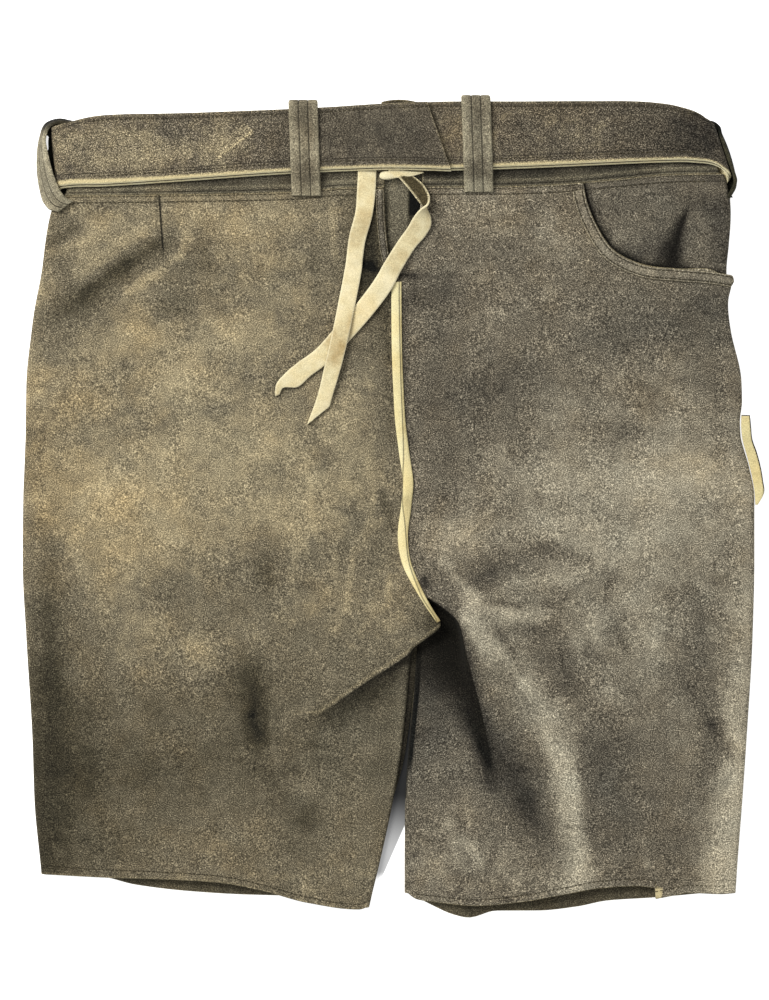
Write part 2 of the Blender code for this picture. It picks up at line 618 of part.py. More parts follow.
def make_pocket_facing():
    """The panel behind the scooped mouth, reaching a little way under the back panel."""
    under = 10.0
    us, vs = spread((0.0, 1.0, 9)), spread((0.0, 1.0, 8))

    def top(f):
        start_x, stop_x = SCOOP[0].x - 8.0, 226.0 - side_radius(226.0)
        x = start_x + (stop_x - start_x) * f
        return np.stack([x, flow(WAIST, "x", "y", x) - SEAM], axis=1)

    def bottom(f):
        x = 150.0 + (227.8 - side_radius(150.0) - 150.0) * f
        return np.stack([x, 164.0 - under + 3.4 * smooth((f - 0.6) / 0.4)], axis=1)
    start, foot = top(np.array([0.0]))[0], bottom(np.array([0.0]))[0]
    inner_line = np.array([start, (126.0, 200.0), (133.0, 178.0), foot])

    def inner(f):
        return flow_line(inner_line, f)
    corner, end = top(np.array([1.0]))[0], bottom(np.array([1.0]))[0]

    def outer(f):
        y = corner[1] + (end[1] - corner[1]) * f
        x = flow(SIDES, "y", "right", y) - side_radius(y)
        ease = (corner[0] - x[0]) * (1.0 - f) + (end[0] - x[-1]) * f
        return np.stack([x + ease, y], axis=1)
    flat = patch(top, bottom, inner, outer, us, vs)
    dip = 0.5 * smooth(vs / 0.3)[:, None] * (1.0 - smooth((us - 0.7) / 0.3))[None, :]
    z = back_top(flat[..., 0], flat[..., 1], "right") - dip
    grid = np.dstack([flat[..., 0], flat[..., 1], z])
    wall("pocket_facing", add_side_roll(grid, 1.0, downward=True), SUEDE, LEATHER)


def make_pocket_binding():
    """Stitched strip along the mouth, lying on the back panel's own points."""
    edge = flow_line([(p.x, p.y) for p in SCOOP], np.linspace(0.035, 0.975, 22))
    along = np.gradient(edge, axis=0)
    inward = np.stack([along[:, 1], -along[:, 0]], axis=1)
    inward /= np.linalg.norm(inward, axis=1)[:, None]
    lines = []
    for off in (0.4, BINDING_WIDTH):
        place = edge + inward * off
        height = back_top(place[:, 0], place[:, 1], "right") + scoop_lift(*place.T)
        lines.append(np.column_stack([place, height + SEAM + BINDING + 0.2]))
    ribbon("pocket_binding", lines[0], lines[1], BINDING, LEATHER)


# ---- waist ----------------------------------------------------------------------------------
def waistband_top(x):
    return 268.5 - 7.0 * smooth((-x - 60.0) / 160.0) - 3.6 * smooth((x - 150.0) / 70.0)


def waistband_grid(x_start, x_stop, columns, height, foot):
    x = np.linspace(x_start, x_stop, columns)
    low, high = foot(x), waistband_top(x)
    rows = [np.stack([x, high + (low - high) * f, np.full(columns, height)], axis=1)
            for f in np.linspace(0.0, 1.0, 4)]
    return np.array(rows)


def make_waistbands():
    def back_foot(x):
        return flow(WAIST, "x", "y", x) + SEAM

    def front_foot(x):
        return np.full(np.shape(x), 211.8)
    reach = {"left": -222.0, "right": 222.0}
    start = {"left": -5.6, "right": 20.8}
    for side, sign in (("left", -1.0), ("right", 1.0)):
        grid = waistband_grid(start[side], reach[side], 8, WAIST_TOP, back_foot)
        reach_out = side_radius(grid[:, -1, 1]) + WAISTBAND_INSET
        lean = flow(SIDES, "y", side, grid[:, -1, 1]) - sign * reach_out
        grid[:, -1, 0] = lean
        grid[:, -2, 0] = np.minimum(sign * grid[:, -2, 0], sign * lean - 6.0) * sign
        roll = add_side_roll(grid, sign, downward=True)
        wall("waistband_back_" + side, roll, SUEDE, LEATHER)
    halves = []
    for side, sign in (("left", -1.0), ("right", 1.0)):
        half = waistband_grid(0.0, reach[side], 5, WAIST_RISE, front_foot)
        reach_out = side_radius(half[:, -1, 1]) + WAISTBAND_INSET
        half[:, -1, 0] = flow(SIDES, "y", side, half[:, -1, 1]) - sign * reach_out
        halves.append(add_side_roll(half, sign, downward=False))
    whole = np.concatenate([halves[0][:, :0:-1], halves[1]], axis=1)
    wall("waistband_front", whole, SUEDE, LEATHER, faces_up=False)


def make_gusset():
    """Let-in strip under the opening, with its top standing just clear of the belt."""
    rows = [(277.4, -6.8, 16.3), (262.0, -8.5, 19.5), (240.0, -10.5, 25.5), (217.0, -11.5, 26.5),
            (198.0, -10.8, 24.5), (180.0, -9.4, 18.2), (165.0, -6.8, 13.2), (152.0, -3.0, 8.6)]
    grid = []
    for y, x_left, x_right in rows:
        x = np.linspace(x_left, x_right, 4)
        under = back_top(x, np.full(4, min(y, 212.0)), "left") - SUEDE - SEAM
        z = np.minimum(under, WAIST_TOP - SUEDE - SEAM)
        grid.append(np.stack([x, np.full(4, y), z], axis=1))
    wall("gusset", np.array(grid), PLY, LEATHER)


def make_gusset_edge():
    y = np.linspace(215.5, 158.0, 9)
    edge = flow(BACK_INNER, "y", "left", y)
    inner, outer = [], []
    for off, line in ((0.5, inner), (5.4, outer)):
        x = edge - off
        line.extend(zip(x, y, back_top(x, y, "left") + SEAM + 0.3 + BINDING))
    ribbon("gusset_edge", np.array(inner), np.array(outer), BINDING, LEATHER)


# ---- belt -----------------------------------------------------------------------------------
def strap_route(rows, turn, sign, level, lapped):
    """Outer face edges of one ply, from its lapped end, round the side, to the front.

    level is 0 for the outer ply and 1 for the inner one, which lies one ply further in.
    """
    depth = level * (PLY + PLY_SPACE)
    middle = (BELT_BACK + BELT_FRONT) / 2.0
    radius = (BELT_BACK - BELT_FRONT) / 2.0 - depth
    back = np.array(rows, float)
    count = 13
    top = flow_line(back[:, :2], np.linspace(0.0, 1.0, count))
    low = flow_line(back[:, 2:], np.linspace(0.0, 1.0, count))
    z = np.full(count, middle + radius)
    if lapped:
        z = z + belt_top_height(top[:, 0]) - BELT_BACK
    edges = [np.column_stack([top, z]), np.column_stack([low, z])]
    limits = (turn.x_top, turn.x_bottom)
    drops = (turn.drop_top, turn.drop_bottom)
    fronts = ((STRAP_FRONT[0].x_top, STRAP_FRONT[0].y_top),
              (STRAP_FRONT[0].x_bottom, STRAP_FRONT[0].y_bottom))
    routes = []
    for edge, limit, drop, (x_front, y_front) in zip(edges, limits, drops, fronts):
        points = [tuple(p) for p in edge]
        centre = limit - sign * (radius + depth)
        y_last = points[-1][1]
        turns = np.radians(np.linspace(90.0, -90.0, 9))
        for n, angle in enumerate(turns):
            fall = 2.0 * drop * (n + 1.0) / (len(turns) + 1.0)
            points.append((centre + sign * radius * math.cos(angle), y_last - fall,
                           middle + radius * math.sin(angle)))
        x_last, y_last = points[-1][:2]
        x_end = x_front + sign * STRAP_HALF_GAP
        for f in (0.25, 0.5, 0.75, 1.0):
            points.append((x_last + (x_end - x_last) * f,
                           y_last + (y_front - y_last) * float(smooth(f * 1.2)),
                           middle - radius))
        routes.append(np.array(points))
    return routes


def make_belt():
    """Two straps of two plies. Each cut edge is slanted, and the inner ply shows below."""
    bevel, show = 0.9, 1.5
    straps = (("left", STRAP_LEFT, TURN_LEFT, -1.0, True),
              ("right", STRAP_RIGHT, TURN_RIGHT, 1.0, False))
    for side, rows, turn, sign, lapped in straps:
        for level, ply in enumerate(("outer", "inner")):
            top, low = strap_route(rows, turn, sign, level, lapped)
            down = (low - top) / np.linalg.norm(low - top, axis=1)[:, None]
            low = low + down * show * level
            cut = down * bevel
            first, last = (top, low) if sign > 0 else (low, top)
            inner = (first, last + cut) if sign > 0 else (first + cut, last)
            ribbon("belt_{}_{}".format(side, ply), first, last, PLY, LEATHER_DARK,
                   inner_a=inner[0], inner_b=inner[1])


def make_belt_plate():
    """Flat plate over the meeting ends of the belt, on the table side."""
    bpy.ops.mesh.primitive_cube_add(size=1.0)
    item = bpy.context.object
    item.name = item.data.name = "belt_plate"
    across, up, thick = PLATE
    y_middle = (STRAP_FRONT[0].y_top + STRAP_FRONT[0].y_bottom) / 2.0
    place = (0.0, y_middle, thick / 2.0)
    work = bmesh.new()
    work.from_mesh(item.data)
    for vert in work.verts:
        vert.co = [c * s * MM + p * MM for c, s, p in zip(vert.co, (across, up, thick), place)]
    corners = [e for e in work.edges if abs(e.verts[0].co.z - e.verts[1].co.z) > MM]
    bmesh.ops.bevel(work, geom=corners, offset=5.0 * MM, segments=4, affect="EDGES",
                    profile=0.5)
    work.to_mesh(item.data)
    work.free()
    for owner in list(item.users_collection):
        owner.objects.unlink(item)
    GARMENT.objects.link(item)
    item.data.materials.append(finish("belt_plate", BRASS, 0.35, 1.0))


# ---- loops ----------------------------------------------------------------------------------
RIBBED = ((0.0, 0.0), (0.06, RIB), (0.28, RIB), (0.335, 0.0), (0.39, RIB), (0.61, RIB),
          (0.665, 0.0), (0.72, RIB), (0.94, RIB), (1.0, 0.0))


def make_back_loops():
    """Loops over the belt, from the waistband seam, over the belt and in behind it."""
    top = WAIST_TOP
    over = BELT_BACK + SEAM + LOOP
    Bow = namedtuple("Bow", "y z")
    for name, (middle, raise_head) in LOOPS_BACK.items():
        belt_foot = float(flow([Across(r.x_bottom, r.y_bottom) for r in STRAP_LEFT[1:]]
                               + [Across(r.x_bottom, r.y_bottom) for r in STRAP_RIGHT[2:]],
                               "x", "y", middle))
        head = 276.0 + raise_head
        foot = belt_foot - 17.4
        bows = [Bow(foot, top + SEAM + LOOP + 0.3), Bow(foot + 5.0, top + LOOP + 1.2),
                Bow(belt_foot - 7.5, top + LOOP + 3.0), Bow(belt_foot - 4.4, over - 1.0),
                Bow(belt_foot + 0.5, over + 0.3), Bow(belt_foot + 14.0, over + 0.5),
                Bow(belt_foot + 30.0, over + 0.5), Bow(head - 4.2, over + 0.2),
                Bow(head - 1.4, over - 0.9), Bow(head - 0.3, over - 3.0), Bow(head, over - 5.2),
                Bow(head - 0.8, top + 1.2), Bow(head - 3.2, top + 0.4)]
        line = np.array(bows, float)
        lean = LOOP_LEAN * (head - line[:, 0]) / (head - foot)
        left = np.column_stack([middle - LOOP_WIDTH / 2.0 + lean, line])
        right = left + (LOOP_WIDTH, 0.0, 0.0)
        ribbon(name, left, right, LOOP, LEATHER, profile=RIBBED)


SideLoop = namedtuple("SideLoop", "ux uy uz lx ly lz")
LOOP_SIDE_LEFT = [
    SideLoop(-218.5, 261.4, 8.6, -217.5, 262.8, 4.0),
    SideLoop(-226.5, 262.2, 10.0, -227.5, 264.4, 3.0),
    SideLoop(-233.2, 258.8, 13.8, -236.2, 261.2, 2.4),
    SideLoop(-236.0, 252.0, 16.4, -240.4, 251.0, 2.2),
    SideLoop(-236.2, 243.0, 17.6, -242.1, 238.0, 2.2),
    SideLoop(-235.4, 232.5, 17.6, -242.0, 228.0, 2.4),
    SideLoop(-232.4, 222.0, 17.2, -240.2, 216.0, 3.4),
    SideLoop(-227.4, 213.6, 16.4, -236.8, 206.4, 8.4),
    SideLoop(-221.0, 208.8, 14.8, -231.0, 201.6, 13.4),
    SideLoop(-217.0, 207.6, 14.0, -226.6, 200.6, 13.8),
]
LOOP_SIDE_RIGHT = [
    SideLoop(212.0, 262.6, 7.6, 211.6, 262.0, 3.0),
    SideLoop(218.4, 262.0, 8.4, 218.0, 261.4, 2.4),
    SideLoop(222.9, 258.2, 10.4, 222.5, 257.2, 2.2),
    SideLoop(224.4, 253.8, 12.2, 224.2, 252.4, 2.2),
    SideLoop(226.2, 249.8, 12.8, 226.2, 248.4, 2.2),
    SideLoop(228.8, 243.2, 13.0, 229.0, 241.8, 2.2),
    SideLoop(230.9, 236.6, 13.1, 231.1, 235.2, 2.2),
    SideLoop(232.7, 229.6, 13.2, 232.9, 228.4, 2.3),
    SideLoop(234.0, 222.0, 13.2, 234.2, 221.0, 2.6),
    SideLoop(233.9, 215.4, 13.0, 234.0, 214.6, 3.0),
    SideLoop(232.8, 210.4, 12.8, 232.8, 209.6, 3.6),
]


def make_side_loops():
    """Loops that stand round the belt at the sides, seen along their edge from above."""
    for name, rows in (("loop_side_left", LOOP_SIDE_LEFT), ("loop_side_right", LOOP_SIDE_RIGHT)):
        table = np.array(rows, float)
        upper = flow_line(table[:, :3], np.linspace(0.0, 1.0, 15))
        lower = flow_line(table[:, 3:], np.linspace(0.0, 1.0, 15))
        pair = (upper, lower) if name.endswith("left") else (lower, upper)
        ribbon(name, pair[0], pair[1], LOOP, LEATHER, profile=RIBBED)


def make_front_loops():
    """Plain loops under the belt, flat on the table."""
    for name, middle in LOOPS_FRONT.items():
        over = BELT_FRONT - SEAM - LOOP
        line = np.array([(207.0, 3.0), (209.6, 1.4), (213.0, 0.3), (216.5, over), (240.0, over),
                         (258.0, over), (261.5, 0.3), (264.6, 1.4), (267.0, 3.2)])
        right = np.column_stack([np.full(len(line), middle + LOOP_WIDTH / 2.0), line])
        left = right - (LOOP_WIDTH, 0.0, 0.0)
        ribbon(name, right, left, LOOP, LEATHER)


# ---- laces and welts ------------------------------------------------------------------------
def floor_height(x, y):
    """Upper face of whatever lies under a lace: waistband, panel or seam welt."""
    panel = back_top(x, np.minimum(y, 212.0), "left")
    return np.maximum(panel, WAIST_TOP * (y > 210.0))


def flat_strip(rows, width, thickness, stations):
    """Edges of a flat strip whose middle follows the rows, lying on what is below it."""
    line = flow_line([(r.x, r.y, r.lift) for r in rows], np.linspace(0.0, 1.0, stations))
    along = np.gradient(line[:, :2], axis=0)
    aside = np.stack([-along[:, 1], along[:, 0]], axis=1)
    aside /= np.linalg.norm(aside, axis=1)[:, None]
    wide = np.broadcast_to(np.asarray(width, float), (stations,))[:, None] / 2.0
    edges = []
    for sign in (-1.0, 1.0):
        place = line[:, :2] + sign * wide * aside
        height = floor_height(place[:, 0], place[:, 1])
        middle = floor_height(line[:, 0], line[:, 1])
        z = np.maximum(height, middle) + line[:, 2] + thickness
        edges.append(np.column_stack([place, z]))
    return edges


def make_lace():
    for name, rows in (("lace_end_left", LACE_LEFT), ("lace_end_right", LACE_RIGHT)):
        table = np.array(rows, float)
        at = np.linspace(0.0, 1.0, 34)
        edges = []
        for line in (flow_line(table[:, :3], at), flow_line(table[:, 3:], at)):
            line[:, 2] += floor_height(line[:, 0], line[:, 1])
            edges.append(line)
        ribbon(name, edges[0], edges[1], LACE, CREAM)
    bpy.ops.mesh.primitive_uv_sphere_add(segments=14, ring_count=8, radius=1.0)
    item = bpy.context.object
    item.name = item.data.name = "lace_knot"
    size = [s / 2.0 * MM for s in LACE_KNOT_SIZE]
    place = (LACE_KNOT[0], LACE_KNOT[1], WAIST_TOP + 0.3 + LACE_KNOT_SIZE[2] / 2.0)
    for vert in item.data.vertices:
        vert.co = [c * s + p * MM for c, s, p in zip(vert.co, size, place)]
    for owner in list(item.users_collection):
        owner.objects.unlink(item)
    GARMENT.objects.link(item)
    item.data.materials.append(finish("lace_knot", CREAM))
    item.data.shade_smooth()


def make_seam_welt():
    count = 30
    width = np.full(count, SEAM_WELT_WIDTH)
    taper = smooth((np.arange(count) - (count - 9)) / 8.0)
    width = width + (SEAM_WELT_TIP - SEAM_WELT_WIDTH) * taper
    edges = flat_strip(SEAM_WELT, width, WELT * 0.6, count)
    ribbon("seam_welt", edges[1], edges[0], WELT * 0.6, CREAM,
           profile=((0.0, 0.0), (0.3, WELT * 0.4), (0.7, WELT * 0.4), (1.0, 0.0)))


def make_side_welt():
    count = 14
    rows = flow_line([(r.x_in, r.x_out, r.y) for r in SIDE_WELT], np.linspace(0.0, 1.0, count))
    backing = BINDING
    for name, top, out, thickness, colour in (
            ("side_welt", SIDE_WELT_TOP, 0.0, WELT, CREAM),
            ("side_welt_backing", SIDE_WELT_TOP - WELT - SEAM, backing, backing, LEATHER_DARK)):
        inner = np.column_stack([rows[:, 0], rows[:, 2] + out, np.full(count, top)])
        outer = np.column_stack([rows[:, 1] + out, rows[:, 2] + out, np.full(count, top)])
        ribbon(name, outer, inner, thickness, colour)


clear_scene()
GARMENT = bpy.data.collections.new("lederhosen")
bpy.context.scene.collection.children.link(GARMENT)
make_front_panels()
make_back_panels()
make_pocket_facing()
make_pocket_binding()
make_gusset()
make_gusset_edge()
make_waistbands()
make_belt()
make_belt_plate()
make_back_loops()
make_side_loops()
make_front_loops()
make_lace()
make_seam_welt()
make_side_welt()
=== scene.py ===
# %% [markdown]
# # Lederhosen, laid flat on their front
# Short suede breeches with a leather belt, seen from straight above, back upward. The solids
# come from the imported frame. Every visible piece is made here a second time, finer, on the
# same form, and stands for its solid.

# %% Load the frame
import math
from collections import namedtuple

import bpy
import numpy as np
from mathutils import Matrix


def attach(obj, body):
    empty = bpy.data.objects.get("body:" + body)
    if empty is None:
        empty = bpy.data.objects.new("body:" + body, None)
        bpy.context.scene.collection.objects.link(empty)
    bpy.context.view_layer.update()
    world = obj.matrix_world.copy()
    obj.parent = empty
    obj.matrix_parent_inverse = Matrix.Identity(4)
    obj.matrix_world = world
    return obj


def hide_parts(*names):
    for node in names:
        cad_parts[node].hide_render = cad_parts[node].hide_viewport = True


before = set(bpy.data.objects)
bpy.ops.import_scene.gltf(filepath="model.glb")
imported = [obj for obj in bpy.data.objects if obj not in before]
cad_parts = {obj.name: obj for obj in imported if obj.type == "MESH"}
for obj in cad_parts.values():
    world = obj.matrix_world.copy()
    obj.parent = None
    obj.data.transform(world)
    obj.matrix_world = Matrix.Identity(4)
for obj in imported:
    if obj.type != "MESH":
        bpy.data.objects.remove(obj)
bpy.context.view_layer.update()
MM = 0.001
print("solids:", len(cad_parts))

# %% [markdown]
# ## Camera, table and light
# The garment lies on a white table and is looked at from straight above, from far off, so
# that near and far parts keep one scale. A large soft lamp stands at the upper left and a
# pale sky fills the shadows: that keeps the folds readable without hard edges.

# %% Camera
IMAGE_TALL = 0.680             # metres of the table that the picture's height covers
IMAGE_CENTRE = (-0.0051, 0.0048)
CAMERA_HEIGHT = 3.0
FOCUS_HEIGHT = 0.008
SENSOR = 36.0

camera_data = bpy.data.cameras.new("camera")
camera_data.sensor_width = SENSOR
camera_data.lens = SENSOR * (CAMERA_HEIGHT - FOCUS_HEIGHT) / IMAGE_TALL
camera_data.clip_end = 20.0
camera = bpy.data.objects.new("camera", camera_data)
camera.location = (*IMAGE_CENTRE, CAMERA_HEIGHT)
bpy.context.scene.collection.objects.link(camera)
bpy.context.scene.camera = camera
print("lens", round(camera_data.lens, 1), "mm")

# %% [markdown]
# Shaders are wired by a few helpers. A value stands for an output of a node, and arithmetic
# on it adds Math nodes, so that a shader's formula reads like one.

# %% Node helpers
class Value:
    """A value in a shader. Arithmetic on it adds Math nodes to its tree."""
    def __init__(self, tree, socket):
        self.tree, self.socket = tree, socket

    def math(self, operation, other=0.0, swap=False):
        pair = (other, self) if swap else (self, other)
        return wire(self.tree, "Math", {"operation": operation}, n0=pair[0], n1=pair[1])

    def __abs__(self):
        return self.math("ABSOLUTE")

    def clamped(self):
        self.socket.node.use_clamp = True
        return self

    def other(self, name):
        """Another output of the node that this value comes from."""
        return Value(self.tree, self.socket.node.outputs[name])


for symbol, operation in (("add", "ADD"), ("sub", "SUBTRACT"), ("mul", "MULTIPLY"),
                          ("truediv", "DIVIDE"), ("pow", "POWER")):
    setattr(Value, f"__{symbol}__", lambda a, b, name=operation: a.math(name, b))
    setattr(Value, f"__r{symbol}__", lambda a, b, name=operation: a.math(name, b, swap=True))


def fill(item, **inputs):
    """Joins or sets a node's inputs, called by their labels, or by n and their number."""
    for key, value in inputs.items():
        socket = item.inputs[int(key[1:]) if key[1:].isdigit() else key.replace("_", " ")]
        if isinstance(value, Value):
            value.tree.links.new(value.socket, socket)
        else:
            socket.default_value = value


def wire(tree, kind, settings=None, **inputs):
    """Adds a shader node with its options and inputs, and gives back its first output."""
    item = tree.nodes.new("ShaderNode" + kind)
    for key, value in (settings or {}).items():
        setattr(item, key, value)
    fill(item, **inputs)
    return Value(tree, item.outputs[0])


def blend(tree, factor, a, b, mode="MIX"):
    settings = {"data_type": "RGBA", "blend_type": mode}
    return wire(tree, "Mix", settings, n0=factor, n6=a, n7=b).other(2)


def ramp(value, low=0.0, high=1.0, start=0.0, stop=1.0):
    """From start, where the value is low, in a soft S to stop, where it is high."""
    return wire(value.tree, "MapRange", {"interpolation_type": "SMOOTHSTEP"}, Value=value,
                From_Min=low, From_Max=high, To_Min=start, To_Max=stop)


def new_finish(name):
    material = bpy.data.materials.new(name)
    material.use_nodes = True
    return material, material.node_tree, material.node_tree.nodes["Principled BSDF"]

# %% Table and light
KEY_PLACE = (-1.35, 1.20, 1.75)
KEY_SIZE = 1.0
KEY_POWER = 62.0
SKY = 0.60
TABLE_GLOW = 0.75              # keeps the white table white where the garment shades it
TABLE_HALF = 6.0

lamp_data = bpy.data.lights.new("key", "AREA")
lamp_data.size = KEY_SIZE
lamp_data.energy = KEY_POWER
lamp_data.color = (1.0, 0.985, 0.96)
lamp = bpy.data.objects.new("key", lamp_data)
lamp.location = KEY_PLACE
away = lamp.location                     # it shines at the garment, from this far away
lamp.rotation_euler = (math.atan2(math.hypot(away[0], away[1]), away[2]), 0.0,
                       math.atan2(away[0], -away[1]))
bpy.context.scene.collection.objects.link(lamp)
world = bpy.data.worlds.new("studio")
world.use_nodes = True
fill(world.node_tree.nodes["Background"], Color=(0.96, 0.98, 1.0, 1.0), Strength=SKY)
bpy.context.scene.world = world
bpy.context.scene.view_settings.view_transform = "Standard"

table_mesh = bpy.data.meshes.new("table")
corners = [(x * TABLE_HALF, y * TABLE_HALF, 0.0) for x, y in ((-1, -1), (1, -1), (1, 1), (-1, 1))]
table_mesh.from_pydata(corners, [], [(0, 1, 2, 3)])
table = bpy.data.objects.new("table", table_mesh)
table.location = (0.0, 0.0, -0.0002)
bpy.context.scene.collection.objects.link(table)
table_finish, tree, shader = new_finish("white table")
table_mesh.materials.append(table_finish)

# Painted shadow: the table between the legs is painted darker, and glows less, as if in the left
# leg's own shadow, whose edge slants.
x = wire(tree, "SeparateXYZ", n0=wire(tree, "TexCoord").other("Object"))
y = x.other("Y")
inside = ramp(x - y * 0.438, 0.1033, 0.1045, 1.0, 0.0)     # left of the slanting edge
inside = inside * ramp(y, -0.256, -0.248) * ramp(y, 0.0, 0.01, 1.0, 0.0)
inside = inside * ramp(x, -0.036, -0.030) * ramp(x, 0.020, 0.024, 1.0, 0.0)
# painted shadow: darkest near the crotch, paler towards the hem
light = 1.0 - inside * ramp(y, -0.238, -0.194, 0.68, 0.985)
white = light * 0.93
fill(shader, Base_Color=wire(tree, "CombineXYZ", n0=white, n1=white, n2=white), Roughness=0.7,
     Specular_IOR_Level=0.1, Emission_Color=(1.0, 1.0, 1.0, 1.0),
     Emission_Strength=light * TABLE_GLOW)

# %% [markdown]
# ## Curves and the lie of the leather
# A pattern cutter draws a garment with a few measured points and smooth curves through them.
# The same is done here: short tables of places, a curve that never overshoots them, and a
# height for each place of the back, which the tables of folds raise and lower.

# %% Curves
def smooth(t):
    """0 below 0, 1 above 1, and an even S between."""
    t = np.clip(t, 0.0, 1.0)
    return t * t * (3.0 - 2.0 * t)


def measured(columns, text):
    """A table of measures: commas part its rows, spaces the numbers in a row."""
    Row = namedtuple("Row", columns)
    return [Row(*map(float, row.split())) for row in text.split(",")]


def flow(rows, key, value, at):
    """Smooth curve through a table's rows that never overshoots them."""
    table = sorted((float(getattr(row, key)), float(getattr(row, value))) for row in rows)
    xs, ys = np.array(table).T
    step = np.diff(xs)
    slope = np.diff(ys) / step
    product = slope[1:] * slope[:-1]
    total = np.where(product > 0.0, slope[1:] + slope[:-1], 1.0)
    middle = np.where(product > 0.0, 2.0 * product / total, 0.0)
    tangent = np.concatenate([slope[:1], middle, slope[-1:]])
    at = np.clip(np.asarray(at, float), xs[0], xs[-1])
    i = np.clip(np.searchsorted(xs, at) - 1, 0, len(step) - 1)
    t = (at - xs[i]) / step[i]
    rise = ys[i] * (1 + 2 * t) * (1 - t) ** 2 + ys[i + 1] * t * t * (3 - 2 * t)
    lean = step[i] * (tangent[i] * t * (1 - t) ** 2 + tangent[i + 1] * t * t * (t - 1))
    return rise + lean


def run_along(line):
    """How far along a line each of its points lies."""
    return np.append(0.0, np.cumsum(np.linalg.norm(np.diff(line, axis=0), axis=1)))


def flow_line(points, fractions):
    """Points at the given fractions of the length of a smooth curve through a few points."""
    points = np.asarray(points, float)
    knots = run_along(points)
    slopes = np.gradient(points, knots, axis=0)
    at = np.asarray(fractions, float) * knots[-1]
    i = np.clip(np.searchsorted(knots, at) - 1, 0, len(knots) - 2)
    span = (knots[i + 1] - knots[i])[:, None]
    t = (at - knots[i])[:, None] / span
    near = points[i] * (1 + 2 * t) * (1 - t) ** 2 + points[i + 1] * t * t * (3 - 2 * t)
    lean = span * (slopes[i] * t * (1 - t) ** 2 + slopes[i + 1] * t * t * (t - 1))
    return near + lean


def even(count):
    """Fractions from 0 to 1, evenly spaced."""
    return np.linspace(0.0, 1.0, count)


def both_edges(rows, fractions):
    """Points along the two edges of a strip whose rows hold a place on each edge."""
    places = np.array(rows)
    half = places.shape[1] // 2
    return flow_line(places[:, :half], fractions), flow_line(places[:, half:], fractions)


def refine(line, parts):
    """More points on a line, with parts of them to each stretch, the old ones among them."""
    run = run_along(line)
    at = run[:-1, None] + np.diff(run)[:, None] * np.arange(parts) / parts
    return flow_line(line, np.append(at, run[-1]) / run[-1])

# %% Distances and swells
def signed_aside(x, y, start, end):
    """Distance to the side of a line, and how far along it, 0 to 1."""
    run = np.array(end) - np.array(start)
    aside = (x - start[0]) * -run[1] + (y - start[1]) * run[0]
    along = ((x - start[0]) * run[0] + (y - start[1]) * run[1]) / run.dot(run)
    return aside / np.hypot(*run), along


def distance_to_line(x, y, points):
    """Distance of places (x, y) from an open line of points."""
    best = 1e9
    for start, end in zip(points[:-1], points[1:]):
        aside, along = signed_aside(x, y, start, end)
        past = (along - np.clip(along, 0.0, 1.0)) * math.dist(start, end)
        best = np.minimum(best, np.hypot(aside, past))
    return best


def dapple(x, y, size, seed):
    """Soft random swell between -1 and 1 with humps about size across."""
    lattice = np.random.default_rng(seed).uniform(-1.0, 1.0, (64, 64))
    u, v = np.asarray(x, float) / size + 512.0, np.asarray(y, float) / size + 512.0
    i, j = np.floor(u).astype(int), np.floor(v).astype(int)
    s, t = smooth(u - i), smooth(v - j)
    i, j = i % 63, j % 63
    low = lattice[i, j] * (1 - s) + lattice[i + 1, j] * s
    high = lattice[i, j + 1] * (1 - s) + lattice[i + 1, j + 1] * s
    return low * (1 - t) + high * t

# %% Sizes and outline, in millimetres
SUEDE = 1.6            # thickness of a panel or a waistband
PLY = 1.4              # thickness of one of the belt's two plies, and of the gusset
SEAM = 0.3             # clear space between two pieces at a seam
SLACK = 2.6            # free space between the front and back panels of a leg
SIDE_SWELL = 1.0       # how much more the legs stand open beside a side fold
WAIST_RISE = 5.5       # how far the belt in front lifts the front panels at the waist
WAIST_SLACK = 2.3      # free space between the front and back waistbands
RAMP_FOOT = 135.0      # where the front panels leave the table, below the waist
RAMP_HEAD = 214.0      # where they reach WAIST_RISE
WAIST_TOP = WAIST_RISE + 2 * SUEDE + WAIST_SLACK      # upper face of the back waistband
PLY_SPACE = 0.45       # between the belt's two plies, so that they clear each other at the turns
WAISTBAND_INSET = 1.8  # how far the waistbands' side folds stay inside the belt's turns
LACE_SPACE = 2.2       # space between the waistband and the belt, where the lace comes out
BELT_FRONT = 2.1       # outer face of the belt on the table side
BELT_BACK = WAIST_TOP + LACE_SPACE + 2 * PLY + PLY_SPACE
BELT_LAP = 3.7         # how far the left strap rides up where it laps the right one
LOOP = 1.8             # thickness of a belt loop between its ribs
RIB = 0.5              # height of a loop's three ribs
LACE = 1.3             # thickness of the lace
WELT = 1.6             # thickness of the pale welts
LEG_ROLL = 2.5         # radius of the roll along the inside of a leg
PLATE = (52.0, 46.0)   # belt plate: across, up
SIDE_TURNS = tuple(range(9, 91, 9))        # degrees of the small turns round a side fold
LEG_TURNS = tuple(range(90, 8, -9))        # and round the inside of a leg
SIDES = measured("y left right", """
    266 -217 209, 240 -220.5 220, 222 -222.6 226.6, 214 -223.4 228.2, 208 -228.6 229.4,
    198 -232.6 229.8, 178 -236.2 228.6, 161 -238.4 227.2, 134 -243.6 228.9, 120 -245.5 230.8,
    86 -249 238, 72 -249.3 238.4, 58 -249.5 236.9, 48 -249.6 237.4, 38 -250 240, 27 -250.4 243.2,
    6 -251.2 246.8, -36 -251.6 246.8, -90 -249 245.5, -158 -244.9 241.5, -200 -243.5 238.6,
    -250 -238.8 234.8, -282 -236.5 233""")
